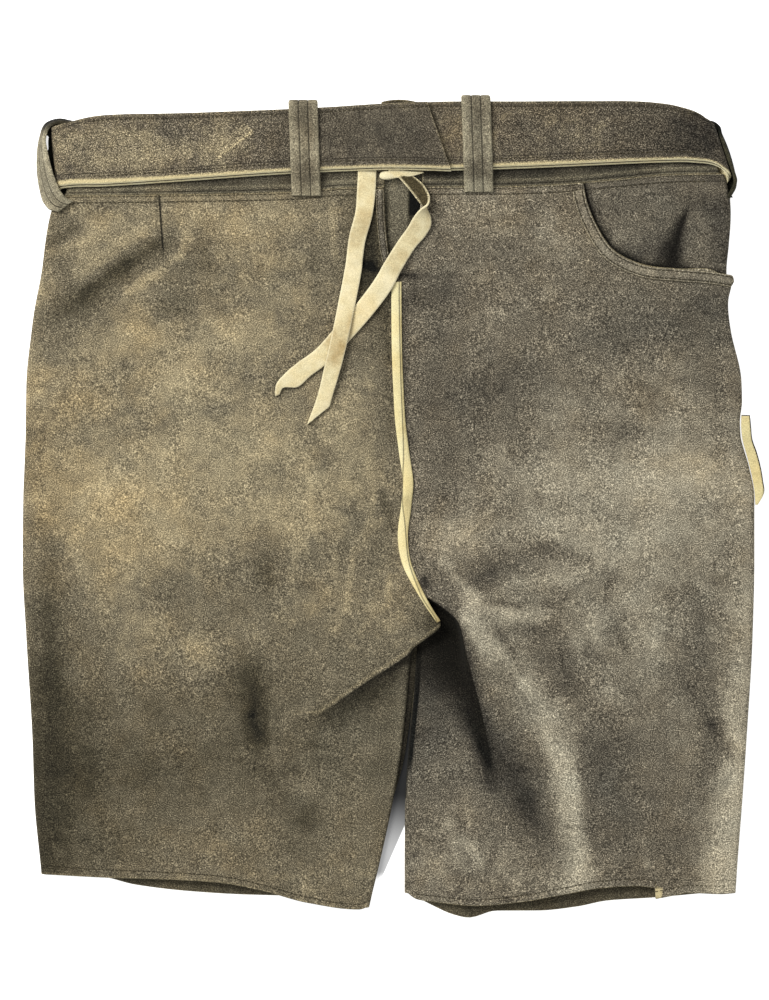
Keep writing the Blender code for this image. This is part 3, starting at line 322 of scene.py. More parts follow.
BACK_INNER = measured("y left right", """
    222 -5.6 20.8, 198 -4.8 18.4, 178 -3 11.6, 165 -0.4 6.8, 157 2 3.8, 150 2.7 3.5, 105 3.2 4,
    59 5.2 6, 39 7.6 8.4, 22 10.6 11.4, 10 11 11.8, -2 8.8 9.6, -24 7.3 8.1, -39 10 10.8,
    -57 18.4 19.2, -63 22.2 23, -72 28.2 21.6, -80 33 20, -84.5 30 19.3, -90.4 22.4 18.4,
    -98 13.6 17, -131 10.2 14.6, -168 6.1 10.9, -207 -0.7 8.8, -244 -8.8 8.5, -264 -13.6 8.5,
    -282 -17.5 8.8""")
FRONT_INNER = measured("y left right", """
    222 3.8 4.2, 0 7.8 8.2, -60 15.8 16.2, -98 17.7 18.3, -131 13.6 14.5, -173 7.5 11.3,
    -207 -2.2 9.4, -244 -10.3 9, -282 -18.6 9.4""")
WAIST = measured("x y", """
    -226 211.5, -140 212.5, -70 214, -30 217, 20 217.5, 67 217.6, 114 219, 142 221.5, 195 226,
    230 226.5""")
BACK_HEM_LEFT = measured("x y", """
    -238.7 -249.6, -197 -252.3, -162 -253.6, -119 -256.4, -88 -262.5, -58 -271, -22 -276.1,
    -13 -272.5""")
BACK_HEM_RIGHT = measured("x y", """
    8.5 -262.5, 17 -268.6, 28 -270.2, 56 -272.7, 86 -270, 117 -264.5, 143 -259.8, 167 -258.4,
    178.8 -259.6""")
BACK_HEM_STEP = measured("x y", "179.4 -267.2, 190 -265, 202 -262.8, 223 -263.4, 234 -262.5")
FRONT_HEM_LEFT = measured("x y", """
    -238.7 -248.8, -197 -251.8, -175 -257, -137 -261.5, -97 -263.8, -60 -264.5, -14 -264""")
FRONT_HEM_RIGHT = measured("x y", """
    9 -261, 28 -271.3, 42 -277.4, 52.4 -279.5, 71 -274.8, 100 -274.7, 126 -272, 147 -267.9,
    178 -265.9, 234 -260.8""")
SCOOP = measured("x y", """
    129.9 220.2, 132 208.8, 138.7 191.8, 150.3 174.8, 170.7 164.6, 194.5 161.8, 221 159.2,
    232.4 152.6""")

# %% [markdown]
# Folds are soft ridges and troughs along short lines. The large ones are in the solid as
# well; the creases after them are shallower and belong to the leather's surface alone. A
# last slow swell keeps any stretch from looking ironed. Each row is a line from one place to
# another, how wide the fold is and how high (+) or deep (-).

# %% Folds
FOLD = "x0 y0 x1 y1 width rise"
FOLDS = measured(FOLD, """
    -158 178 -222 140 15 -1.1, -228 -30 -229 -200 9 -1.3, -206 -20 -210 -215 12 0.9,
    -84 -88 -80 -176 12 1.4, -58 -110 -62 -186 12 -1.2, -16 20 -6 -40 9 -1.1,
    -90 120 -120 20 55 1.6, 110 80 130 -10 55 1.6, 6 158 42 157 4.5 -1.4, 50 -40 112 -76 10 -1.5,
    52 -84 84 -196 15 4.2, 92 -84 140 -232 17 -1.7, 118 -120 172 -250 18 1,
    219 -90 219 -175 10 -1.2, 84 -262 138 -250 26 2.6, -172 -250 -104 -256 24 1.8,
    200 197 189 166 8 -1.6""")
CREASE_RELIEF = 0.4            # millimetres that a full crease stands up or lies down
CREASES = {
    "hip drag": """
        -231.2 173.4 -204 181.6 4.1 0.7, -210.8 157.1 -174.1 185.6 6.1 0.9,
        -210.8 144.2 -179.5 166.6 4.4 -1.3, -179.5 166.6 -162.5 177.5 4.8 -0.8,
        -179.5 146.2 -144.2 170 4.4 1, -144.2 171.4 -137.4 187 3.4 0.9,
        -232.6 179.5 -214.9 189.7 4.8 -1.4, -129.9 182.9 -126.5 163.9 5.4 -0.6,
        -153.7 134.6 -137.4 134.6 5.4 -0.6""",
    "left seat": """
        -88.4 166.6 -62.6 169.3 4.8 0.6, -40.8 200.6 -38.8 170.7 3.4 0.9,
        -64.6 140.8 -57.8 143.5 6.1 0.6, -108.8 120.4 -106.1 109.5 3.4 0.6,
        -179.5 123.8 -167.3 116.3 5.4 0.5, -127.2 129.9 -121 123.1 4.8 0.5,
        -151 91.8 -142.8 90.4 4.8 0.4, -121 67.3 -112.9 63.2 4.1 -0.6,
        -97.9 91.8 -92.5 87.7 4.8 -0.6, -178.2 97.2 -182.2 91.8 4.8 -0.5,
        -12.2 94.5 -15 85 6.1 0.7""",
    "by the gusset": """
        -14.3 205.4 -12.2 166.6 4.1 -1.8, -23.1 166.6 -5.4 159.1 3.4 -2,
        4.1 157.8 15 157.1 2.2 -2.6, 15 157.1 40.8 156.4 2.4 -1, 13.6 144.8 19 135.3 4.8 -0.9,
        29.9 205.4 31.3 168 5.4 -0.5""",
    "by the welt": """
        8.2 140.8 10.2 59.2 2.4 -0.9, 11.6 52.4 15 11.6 2.7 -0.9, 11.6 -8.8 15 -36 3.4 -1,
        -2.7 140.8 -0.7 45.6 2 -0.5, -6.8 8.2 1.4 -15.6 3.4 -1.4, -5.4 -15.6 2.7 -42.8 2.7 -0.5""",
    "left seat, low": """
        -57.1 33.3 -53 -15.6 2.7 0.8, -49 44.9 -32 38.8 2.7 0.5, -18.4 37.4 -11.6 4.8 2.7 0.6,
        -11.6 4.8 -18.4 -19.7 2.7 0.7, -45.6 35.4 -42.2 27.9 4.8 -0.7,
        -35.4 8.8 -28.6 -2 5.4 -0.6, -54.4 -25.8 -47.6 -40.1 4.1 -0.7,
        -31.3 -25.8 -32.6 -40.1 3.4 -0.8, -27.2 -37.4 -31.3 -70 2.3 0.9,
        -2 -46.2 -2.7 -67.3 1.9 0.9, -88.4 -40.1 -84.3 -49.6 5.4 -0.5,
        -83 -80.9 -79.6 -85 4.8 -0.6""",
    "end of the left tuck": """
        -93.8 -119 -95.2 -142.1 3.4 -0.9, -95.2 -142.1 -91.1 -158.4 4.4 -1.2,
        -75.5 -119 -82.3 -146.2 2.2 0.7, -82.3 -146.2 -78.2 -174.8 2.2 0.9,
        -62.6 -161.8 -38.1 -164.6 2 -0.8, 15.6 -90.4 29.9 -82.3 4.1 1.1,
        -72.8 -146.2 -54.4 -134.6 4.1 0.9, 7.5 -109.5 1.4 -192.4 3.4 0.8""",
    "fan beside the crotch": """
        34 -38.1 58.5 -63.2 3.4 1, 58.5 -63.2 83 -74.8 4.1 1.1, 62.6 -63.9 87 -67.3 2.7 -1.3,
        87 -67.3 108.8 -66 4.1 -1.2, 76.8 -51.7 121 -49 4.8 0.9, 58.5 -48.3 68 -44.2 4.8 -1.1,
        66.6 -37.4 104 -28.6 5.4 -0.8, 104 -28.6 134.6 -36 4.8 -0.9, 49 -78.2 68 -100.6 6.8 1.3,
        67.3 -87.7 91.1 -122.4 2.7 0.9, 72.8 -85 83 -101.3 3.1 -0.9, 93.8 -84.3 112.2 -83 4.8 -1,
        115.6 -123.1 126.5 -126.5 4.8 -0.9, 134.6 -76.8 141.4 -94.5 4.1 0.8,
        125.8 -90.4 128.5 -108.1 3.4 0.8""",
    "thigh, right": """
        149.6 -46.9 148.2 -60.5 4.1 -1, 152.3 -74.1 159.1 -94.5 4.1 -0.9,
        168.6 -80.9 178.8 -94.5 3.4 0.7, 195.8 -110.8 217.6 -148.2 3.1 -0.8,
        217.6 -148.2 231.2 -169.3 4.8 -1.6, 227.8 -131.2 233.9 -153 4.1 0.7,
        91.8 -122.4 108.8 -142.1 4.1 0.7, 163.2 -127.2 171.4 -132.6 4.8 -0.6,
        144.2 -131.2 153.7 -127.2 4.8 0.5, 209.4 -70 217.6 -124.4 4.8 -0.5""",
    "ridge down the right leg": """
        102 -146.2 111.5 -166.6 4.1 0.8, 111.5 -166.6 123.1 -188.4 6.1 0.9,
        121 -192.4 125.1 -216.9 6.8 0.9, 125.8 -225.1 130.6 -249.6 6.1 0.9,
        131.9 -162.5 136.7 -221 4.8 -0.8, 138.7 -233.2 140.1 -242.8 4.8 -0.8,
        91.1 -197.9 102.7 -219.6 6.1 -1.1, 118.3 -216.9 131.9 -220.3 1.8 -1,
        62.6 -159.8 68 -193.8 3.4 -1.1""",
    "right hem, inner": """
        46.2 -207.4 53 -226.4 2.3 -0.8, 38.1 -212.8 44.9 -238.7 2.7 0.8,
        50.3 -227.8 60.5 -241.4 4.8 0.9, 69.4 -231.9 65.3 -246.8 2.7 -1,
        35.4 -223.7 32.6 -237.3 2 -0.7, 169.3 -221 174.1 -244.1 3.4 0.7,
        225.8 -233.2 231.2 -244.1 3.4 0.8""",
}

# %% Height of the folds
def swell(x, y, row):
    """A soft ridge along the line of a row, as high as the row says."""
    aside, along = signed_aside(x, y, (row.x0, row.y0), (row.x1, row.y1))
    past = (along - np.clip(along, 0.0, 1.0)) * math.dist((row.x0, row.y0), (row.x1, row.y1))
    return row.rise * np.exp(-(aside ** 2 + past ** 2) / row.width ** 2)


def creases(x, y):
    """Sum of the small creases, ridges counted up and troughs down."""
    return sum(swell(x, y, row) for place in CREASES.values() for row in measured(FOLD, place))


def fold_relief(x, y):
    """Sum of all the soft ridges and troughs."""
    slow = 0.35 * dapple(x, y, 38.0, 3) + 0.16 * dapple(x, y, 13.0, 4)
    return slow + sum(swell(x, y, fold) for fold in FOLDS) + CREASE_RELIEF * creases(x, y)

# %% Mound and tucks
MOUND = (36.0, -72.0)          # middle of the mound beside the crotch
MOUND_SPREAD = (48.0, 40.0)
MOUND_HEIGHT = 8.6
LEFT_TUCK = measured("x y", """
    36 -79.5, 22.4 -90.4, 13.6 -97.9, -2 -108.8, -15 -117, -35 -131, -50 -142""")
RIGHT_TUCK = measured("x y", """
    24.5 -61.5, 33 -67, 44.9 -77.5, 47.6 -84.3, 51.7 -103.4, 59.2 -131, 65.3 -158, 73 -200""")

# %% Heights
def front_rise(y):
    """Height of the front panels' underside above the table."""
    return WAIST_RISE * smooth((np.asarray(y, float) - RAMP_FOOT) / (RAMP_HEAD - RAMP_FOOT))


def side_height(y):
    """Height from the underside of the front to the top of the back, at a side fold."""
    waist = smooth((np.asarray(y, float) - 150.0) / 60.0)
    leg = 2 * SUEDE + SLACK + SIDE_SWELL
    return leg + waist * (2 * SUEDE + WAIST_SLACK - leg)


def tuck_left(x, y):
    """0 above the fold edge that crosses the left leg's top, 1 below it."""
    edge = flow(LEFT_TUCK, "x", "y", x)
    fade = smooth((x + 48.0) / 34.0)
    return fade * smooth((edge - y) * 0.8 / 5.0)


def tuck_right(x, y):
    """0 right of the fold edge below the crotch, 1 in the pocket left of it."""
    edge = flow(RIGHT_TUCK, "y", "x", y)
    width = 3.0 + 22.0 * smooth((-80.0 - y) / 90.0)
    fade = smooth((y + 215.0) / 95.0) * (y < -60.0)
    return fade * smooth((edge - x) / width)


def back_top(x, y, leg):
    """Height of the back's upper face on one leg, "left" or "right"."""
    x, y = np.asarray(x, float), np.asarray(y, float)
    waist = smooth((y - 150.0) / 62.0)
    base = front_rise(y) + 2 * SUEDE + SLACK + waist * (WAIST_SLACK - SLACK)
    mound = ((x - MOUND[0]) / MOUND_SPREAD[0]) ** 2 + ((y - MOUND[1]) / MOUND_SPREAD[1]) ** 2
    folds = fold_relief(x, y)
    relief = MOUND_HEIGHT * np.exp(-mound) + np.maximum(folds, 0.0)
    tuck = tuck_left(x, y) if leg == "left" else tuck_right(x, y)
    height = base + relief * (1.0 - tuck) + np.minimum(folds, 0.0) * (1.0 - waist)
    height = height - 1.4 * tuck
    side = np.minimum(x - flow(SIDES, "y", "left", y), flow(SIDES, "y", "right", y) - x)
    near_side = np.exp(-(np.maximum(side, 0.0) / 13.0) ** 2)
    height = height + near_side * (front_rise(y) + side_height(y) - height)
    return np.maximum(height, front_rise(y) + 2 * SUEDE + 2 * SEAM)

# %% [markdown]
# ## One way to make every piece of leather
# Leather is a sheet with a face, a reverse and a cut edge between them. So one helper takes a
# grid of points for the face, sets the reverse below it by the leather's thickness, and joins
# the two with a rounded edge of its own finish. It also stores, at each point, how far the
# nearest cut edge is, and any other measure that the finish needs to draw seams and wear.

# %% Leather helper
RIM_STEPS = (0.18, 0.5, 0.82)


def face_normal(grid):
    """Unit normals of a grid of points, rows by columns: across times along."""
    normal = np.cross(np.gradient(grid, axis=1), np.gradient(grid, axis=0))
    return normal / np.maximum(np.linalg.norm(normal, axis=2), 1e-9)[..., None]


def border_distance(grid):
    """How far each point lies from the nearest edge of the grid, in millimetres."""
    nearest = np.full(grid.shape[:2], 1e9)
    for axis in (0, 1):
        step = np.linalg.norm(np.diff(grid, axis=axis), axis=2)
        zero = np.zeros_like(step.take([0], axis=axis))
        run = np.concatenate([zero, np.cumsum(step, axis=axis)], axis=axis)
        whole = run.take([-1], axis=axis)
        nearest = np.minimum(nearest, np.minimum(run, whole - run))
    return nearest

# %% Objects from points and faces
def make_item(name, points, faces, finishes, sharp=None):
    """A smooth object from points in millimetres and faces."""
    mesh = bpy.data.meshes.new(name)
    mesh.from_pydata((np.concatenate(points) * MM).tolist(), [], faces)
    for finish in finishes:
        mesh.materials.append(finish)
    mesh.shade_smooth()
    if sharp:
        mesh.set_sharp_from_angle(angle=math.radians(sharp))
    item = bpy.data.objects.new(name, mesh)
    bpy.context.scene.collection.objects.link(item)
    return item


def ring_faces(rings, sides, caps=True):
    """Faces between rings of points, and over the first and the last ring."""
    around = [(s, (s + 1) % sides) for s in range(sides)]
    faces = [(r + a, r + b, r + sides + b, r + sides + a)
             for r in range(0, sides * (rings - 1), sides) for a, b in around]
    last = sides * (rings - 1)
    ends = [tuple(range(sides))[::-1], tuple(range(last, last + sides))]
    return faces + ends * caps

# %% A piece of leather
def leather(name, face, finishes, thickness=SUEDE, reverse=None, bulge=0.3, faces_up=None,
            marks=None, sharp=75.0):
    """A closed piece: face, rounded cut edge and reverse, with its marks as attributes."""
    rows, columns = face.shape[:2]
    marks = {k: np.broadcast_to(v, (rows, columns)) for k, v in (marks or {}).items()}
    normal = face_normal(face)
    if faces_up is not None:
        upward = normal[rows // 2, columns // 2, 2] > 0.0
        if upward != faces_up:
            face = face[:, ::-1]
            marks = {k: v[:, ::-1] for k, v in marks.items()}
            reverse = None if reverse is None else reverse[:, ::-1]
            normal = face_normal(face)
    back = face - thickness * normal if reverse is None else reverse
    index = np.arange(rows * columns).reshape(rows, columns)
    ring = np.concatenate([index[0], index[1:, -1], index[-1, -2::-1], index[-2:0:-1, 0]])
    across, along = np.gradient(face, axis=1), np.gradient(face, axis=0)
    away = np.zeros_like(face)
    for side, lie, sign in ((np.s_[:, 0], across, -1.0), (np.s_[:, -1], across, 1.0),
                            (np.s_[0], along, -1.0), (np.s_[-1], along, 1.0)):
        away[side] += sign * lie[side] / np.linalg.norm(lie[side], axis=1)[:, None]
    flat_face, flat_back, away = (a.reshape(-1, 3) for a in (face, back, away))
    points = [flat_face, flat_back]
    for f in RIM_STEPS:
        out = away[ring] * thickness * bulge * 4.0 * f * (1.0 - f)
        points.append(flat_face[ring] * (1.0 - f) + flat_back[ring] * f + out)
    quads = np.stack([index[:-1, :-1], index[:-1, 1:], index[1:, 1:], index[1:, :-1]], axis=-1)
    quads = quads.reshape(-1, 4)
    count, loop = rows * columns, len(ring)
    layers = [ring] + [2 * count + k * loop + np.arange(loop) for k in range(len(RIM_STEPS))]
    layers.append(ring + count)
    edge_quads = [np.stack([np.roll(a, -1), a, b, np.roll(b, -1)], axis=-1)
                  for a, b in zip(layers[:-1], layers[1:])]
    rim = np.concatenate(edge_quads)
    faces = np.concatenate([quads, quads[:, ::-1] + count, rim])
    kinds = np.repeat([0, 2, 1], [len(quads), len(quads), len(rim)])
    item = make_item(name, points, faces.tolist(), finishes, sharp)
    kinds = np.minimum(kinds, len(finishes) - 1).astype(np.int32)
    item.data.polygons.foreach_set("material_index", kinds)
    marks["border"] = border_distance(face)
    for key, values in marks.items():
        values = values.reshape(-1)
        rim_values = values[ring] * (key != "border")
        layer = item.data.attributes.new(key, "FLOAT", "POINT")
        stored = np.concatenate([values, values] + [rim_values] * len(RIM_STEPS))
        layer.data.foreach_set("value", stored.astype(np.float32))
    return item

# %% Place a piece, and make a strip
def settle(item, slot):
    """The piece rides on the garment, and stands for the solid that it is named after."""
    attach(item, "root")
    node, _, material = item.name.rpartition("_")
    if material in ("suede", "leather", "brass"):
        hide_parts(node)
    print(item.name, len(item.data.polygons), "faces")
    return item


def strip(name, slot, edge_a, edge_b, thickness, finishes, profile=None, width_steps=8, **more):
    """A narrow piece between two edge lines; profile raises its face: (across, lift) rows."""
    edge_a, edge_b = np.asarray(edge_a, float), np.asarray(edge_b, float)
    if profile is None:
        profile = [(f, 0.0) for f in even(width_steps)]
    profile = np.asarray(profile, float)
    face = edge_a[:, None] + profile[None, :, :1] * (edge_b - edge_a)[:, None]
    normal = face_normal(face)
    reverse = face - thickness * normal
    face = face + profile[None, :, 1:2] * normal
    marks = {"across": np.broadcast_to(profile[:, 0], face.shape[:2])}
    marks.update(more.pop("marks", {}))
    item = leather(name, face, finishes, thickness, reverse=reverse, marks=marks, **more)
    return settle(item, slot)

# %% [markdown]
# ## Wear and painted shade
# Old suede is never one colour. It is rubbed pale and ochre where it is handled and sat on,
# and dark where folds keep it from the hand. Many patches also paint light and shade: dark
# in folds and hollows, by the crotch and beside the laces and the gusset, and pale on ridges
# that the lamp lights. Each patch is one row: a soft oval with its middle, its half widths,
# its turn, how pale (+) or dark (-) it is, and how warm. Those of the legs come in blocks:
# left hip and seat, left thigh, left leg down to the hem, right thigh, right leg down to the
# hem, right hip and seat.

# %% Wear and painted shade patches
WEAR_AND_SHADE_PATCHES = {
    "legs": """
        -165 199 61 20 0 0.02 0, -186 160 39 10 35 -0.75 -0.2, -154 180 11 7 35 -0.45 -0.1,
        -222 135 16 15 0 -0.42 -0.1, -143 151 15 27 -10 -0.3 0, -103 192 41 23 0 0.1 0.15,
        -173 120 23 15 0 0.36 0.25, -218 74 38 26 0 0.36 0.35, -151 90 31 23 0 0.22 0.05,
        -242 92 10 18 0 0.34 0.1, -97 120 27 15 0 0.28 0, -86 86 24 18 20 -0.26 -0.1,
        -128 65 24 14 0 -0.26 0, -158 37 23 14 0 0.2 0, -27 51 16 34 0 0.26 -0.25,
        -19 184 12 41 0 -0.72 -0.2, -52 175 18 27 0 -0.12 -0.1, 3 66 8 68 2 -0.3 0,
        -107 46 54 65 0 0.5 -0.2, -7 127 12 41 0 -0.52 -0.2, -158 188 68 18 0 0.28 0.05,
        -239 148 11 18 0 0.45 0.1, -76 201 34 15 0 0.3 0.05, -20 158 9 15 0 -0.9 -0.1,

        -199 12 30 23 0 0.56 0.2, -243 -2 12 31 0 0.32 0.3, -184 -44 18 11 0 0.35 0.1,
        -165 1 34 24 0 0.3 0.3, -234 25 15 34 0 0.06 0.5, -63 25 18 20 0 -0.12 -0.1,
        -42 5 19 31 0 0.22 -0.1, -231 -90 10 65 0 -0.7 -0.1, -127 -56 41 14 0 -0.14 0,
        -85 -44 10 20 0 -0.5 0, -132 -97 26 18 0 0.44 0.25, -185 -85 30 31 0 0.24 0.1,
        -32 -63 30 18 15 0.22 0.15, -105 -124 18 27 0 -0.35 0, -65 -124 18 34 -15 -0.06 0.1,
        -185 -26 48 20 0 0.26 0.1, -63 -16 31 27 0 0.22 0.05, -226 -36 18 27 0 0.2 0.3,
        9 25 10 41 0 0.1 -0.2, -99 -85 11 10 30 0.22 -0.05, -106 -115 10 15 8 -0.28 -0.05,

        -216 -172 20 41 0 -0.42 0, -185 -237 23 11 0 -0.28 0, -91 -139 10 31 5 -0.8 -0.1,
        -23 -131 35 10 28 -0.8 -0.2, -5 -172 15 54 5 -0.18 -0.05, -163 -173 42 41 0 -0.3 0.05,
        -120 -230 48 18 0 0.16 0.25, -57 -209 22 16 0 -0.26 -0.1, -100 -180 19 15 0 -0.24 -0.1,
        -63 -235 20 11 0 -0.26 0, -32 -233 20 27 0 0.02 0.1, -246 -192 34 102 0 -0.85 -0.2,
        -158 -182 82 65 0 -0.34 0, -69 -162 41 41 0 -0.26 -0.1, 2 -162 18 41 0 -0.34 -0.1,
        -226 -233 27 34 0 -0.25 -0.1, -29 -145 41 48 0 0 -0.35, -57 -214 9 7 0 -0.42 -0.1,
        -61 -192 11 6 -20 0.26 -0.1,

        114 -16 18 11 0 0.28 0, 135 20 102 19 0 0.34 0.05, 209 25 30 20 0 0.2 0.25,
        45 -19 23 12 10 0.48 0.2, 141 -33 48 15 0 0.26 -0.05, 73 -46 30 8 18 -0.42 -0.2,
        146 -71 18 12 0 0.26 -0.1, 57 -85 10 23 22 0.85 -0.1, 116 -107 12 19 14 -0.5 -0.1,
        88 -71 16 9 0 0.8 -0.1, 53 -67 10 11 0 0.4 -0.1, 22 -51 3 5 20 -1.3 -0.2,
        91 -123 12 30 26 0.42 -0.2, 169 -124 30 30 0 0.12 0, 203 -90 15 30 0 -0.26 -0.2,
        240 -77 8 109 0 0.4 0.1, 179 12 71 42 0 0.46 -0.1, 169 -70 61 41 0 0.32 -0.25,
        39 -94 14 27 14 -1.8 -0.1, 169 -17 41 11 0 0.24 -0.1,

        116 -262 16 10 0 0.42 0, 227 -192 11 61 0 0.32 0, 226 -262 10 7 0 0.3 0,
        73 -152 10 20 20 -0.16 -0.1, 117 -180 12 29 10 0.8 -0.2, 124 -239 12 37 4 0.62 -0.3,
        53 -133 8 37 14 -1 -0.2, 82 -183 12 39 26 -0.85 -0.2, 61 -160 7 29 12 -0.9 -0.1,
        26 -240 16 24 0 0.36 0.3, 64 -235 18 20 0 0.2 0, 41 -207 18 15 0 0.14 0.3,
        27 -131 16 49 4 -0.62 -0.5, 145 -182 15 34 6 -0.48 -0.3, 171 -207 23 16 0 -0.22 0,
        219 -165 8 34 0 -0.62 -0.2, 227 -248 18 27 0 0.75 0.1, 190 -235 30 16 0 -0.24 0,
        155 -192 20 41 0 -0.12 -0.2, 233 -199 18 82 0 0.62 -0.1, 33 -192 27 61 0 -0.1 -0.3,
        141 -131 116 143 0 0 -0.12, 90 -194 23 27 0 -0.22 -0.2,

        87 175 12 20 0 -0.3 0, 23 146 24 12 0 -0.5 -0.2, 60 197 27 20 0 0.24 0.25,
        114 184 31 24 0 0.12 0.2, 33 120 16 23 0 -0.35 -0.1, 48 78 27 18 0 -0.55 -0.2,
        87 90 27 24 20 -0.3 -0.2, 118 65 23 16 0 0.34 0, 175 124 48 20 5 -0.52 -0.4,
        223 134 18 27 0 -0.3 -0.3, 172 95 29 12 0 0.26 0.1, 152 50 23 10 0 -0.2 -0.1,
        186 76 27 16 0 0.12 0.15, 169 141 102 75 0 0 -0.1, 203 199 41 20 0 -0.35 -0.4,
        37 31 20 38 0 -0.38 -0.1""",
    "belt left": """
        -185 243 45 16 0 0.42 -0.1, -127 241 30 12 10 0.46 0, -88 246 20 14 0 -0.15 0,
        -5 250 48 23 0 -0.55 -0.45""",
    "belt right": """
        39 258 8 18 12 -0.12 0.5, 87 253 27 18 0 0.05 0.15, 141 256 41 18 0 -0.1 0,
        203 253 34 26 0 -0.95 -0.3""",
    "facing": """
        166 191 31 7 32 0.34 0.1, 209 182 6 16 0 0.16 0, 186 171 8 10 -14 -0.4 -0.2,
        169 171 27 8 15 -0.45 -0.2, 224 179 9 27 0 -0.6 -0.3, 212 207 23 10 0 -0.45 -0.1,
        182 192 61 34 0 -0.42 -0.45, 215 225 18 5 -8 -0.85 -0.1, 190 167 6 7 0 -0.45 -0.1""",
}


def wear_and_shade_at(where, x, y):
    """Sum of the patches of one part of the garment, wear and painted shade: how pale, and how
    warm.
    """
    tone, warm = np.zeros(np.shape(x)), np.zeros(np.shape(x))
    for spot in measured("x y rx ry turn tone warm", WEAR_AND_SHADE_PATCHES[where]):
        c, s = math.cos(math.radians(spot.turn)), math.sin(math.radians(spot.turn))
        u = ((x - spot.x) * c + (y - spot.y) * s) / spot.rx
        v = ((y - spot.y) * c - (x - spot.x) * s) / spot.ry
        soft = np.exp(-(u * u + v * v) * 0.9)
        tone = tone + spot.tone * soft
        warm = warm + spot.warm * soft
    return {"tone": tone, "warm": warm}

# %% [markdown]
# ## Finishes
# Suede is the fluffy side of a hide. Its colour breaks up into flecks about a millimetre
# across, over blotches as wide as a hand. Four effects are shared by every leather here, so
# each is a node group, built once: the worn colour with its painted shade, the grain of the
# nap, the rubbed edge, and the line that a seam presses into the hide. The shader itself
# stays in each material.

# %% Colours, noise and groups
LIGHT_LEVEL = 1.17             # how bright a white face is under these lamps


def ink(red, green, blue):
    """A colour as a dyer would match it, turned into the paint's own brightness."""
    parts = np.array([red, green, blue]) / 255.0
    linear = np.where(parts <= 0.04045, parts / 12.92, ((parts + 0.055) / 1.055) ** 2.4)
    return (*(linear / LIGHT_LEVEL).tolist(), 1.0)


def noise(tree, size, detail=2.0, stretch=None):
    """Noise in the garment's own space, with features about size millimetres wide."""
    place = wire(tree, "TexCoord").other("Object")
    if stretch:
        place = wire(tree, "Mapping", Vector=place, Scale=stretch)
    return wire(tree, "TexNoise", Vector=place, Scale=1.0 / (size * MM), Detail=detail)


def group(name, outputs, **inputs):
    """An empty node group, its inputs as values, and its output node."""
    tree = bpy.data.node_groups.new(name, "ShaderNodeTree")
    for label, value in inputs.items():
        kind = "NodeSocketColor" if isinstance(value, tuple) else "NodeSocketFloat"
        tree.interface.new_socket(label, in_out="INPUT", socket_type=kind).default_value = value
    for label in outputs:
        kind = "NodeSocketColor" if label == "Colour" else "NodeSocketFloat"
        tree.interface.new_socket(label, in_out="OUTPUT", socket_type=kind)
    given = {s.name: Value(tree, s) for s in tree.nodes.new("NodeGroupInput").outputs}
    return tree, given, tree.nodes.new("NodeGroupOutput")


def use(tree, shared, **inputs):
    """Places a shared group in a material and joins its inputs."""
    return wire(tree, "Group", {"node_tree": shared}, **inputs)

# %% Group: worn colour and painted shade
WORN_AND_SHADED, given, result = group("worn colour and painted shade", ("Colour", "Level"), Deep=ink(70, 64, 50),
                            Middle=ink(118, 109, 88), Pale=ink(182, 166, 130), Tone=0.0,
                            Warm=0.0, Blotch=0.3)
patchy = noise(WORN_AND_SHADED, 32.0, 5.0, (1.0, 1.35, 1.0)) - 0.5 + (noise(WORN_AND_SHADED, 8.0) - 0.5) * 0.85
level = given["Tone"] * 0.5 + 0.5 + patchy * given["Blotch"]
colour = blend(WORN_AND_SHADED, (level * 2.0).clamped(), given["Deep"], given["Middle"])
colour = blend(WORN_AND_SHADED, (level * 2.0 - 1.0).clamped(), colour, given["Pale"])
# Painted shade: a tone below -1 takes the colour past the deep shade towards black, for hollows and
# folds in shade.
colour = blend(WORN_AND_SHADED, (level * -2.0).clamped(), colour, (0.006, 0.006, 0.005, 1.0))
warmth = given["Warm"] + (noise(WORN_AND_SHADED, 20.0, 4.0) - 0.5) * 1.6
for way, hue in ((1.0, (1.08, 0.985, 0.84, 1.0)), (-1.0, (0.94, 0.99, 1.05, 1.0))):
    colour = blend(WORN_AND_SHADED, (warmth * way).clamped(), colour, hue, "MULTIPLY")
fill(result, Colour=colour, Level=level)
print(WORN_AND_SHADED.name, len(WORN_AND_SHADED.nodes), "nodes")

# %% Group: nap grain
FLECK_POWER = 3.9              # contrast between the light and the dark tips of the nap
NAP, given, result = group("nap grain", ("Colour", "Height"), Colour=(0.5, 0.5, 0.5, 1.0),
                           Fleck=0.35, Relief=0.2)
grain = noise(NAP, 0.74, 0.0) - 0.5 + (noise(NAP, 2.3, 1.0) - 0.5) * 0.22
swing = 2.718 ** (grain * given["Fleck"] * FLECK_POWER - given["Fleck"] ** 2.0 * 0.13)
shade = wire(NAP, "CombineXYZ", X=swing, Y=swing, Z=swing)
fill(result, Colour=blend(NAP, 1.0, given["Colour"], shade, "MULTIPLY"),
     Height=grain * given["Relief"])
print(NAP.name, len(NAP.nodes), "nodes")

# %% Group: rubbed edge
RUB, given, result = group("rubbed edge", ("Mask",), Border=9.0, Reach=1.6, Ragged=0.6)
wobble = (noise(RUB, 4.0) - 0.5) * given["Ragged"]
reach = given["Reach"] + wobble * given["Reach"]
fill(result, Mask=(1.0 - given["Border"] / reach).clamped())

# %% Group: pressed line
LINE, given, result = group("pressed line", ("Mask",), Distance=9.0, Place=0.0, Width=1.0)
off = abs(given["Distance"] - given["Place"])
fill(result, Mask=ramp((1.0 - off / given["Width"]).clamped()))
print(RUB.name, LINE.name)

# %% [markdown]
# A finish for leather is then a recipe: three shades, how blotchy and how flecked it is, and
# the lines that seams and stitches press into it, and the lines of painted shade and painted
# highlight along folds and edges, each a row that says which measure of the piece it follows,
# where it lies, how wide it is, how dark (below zero, how pale) and how deep.

# %% Leather finish
CREAM_INK = ink(216, 199, 152)


def measure(tree, name):
    return wire(tree, "Attribute", {"attribute_name": name}).other("Fac")


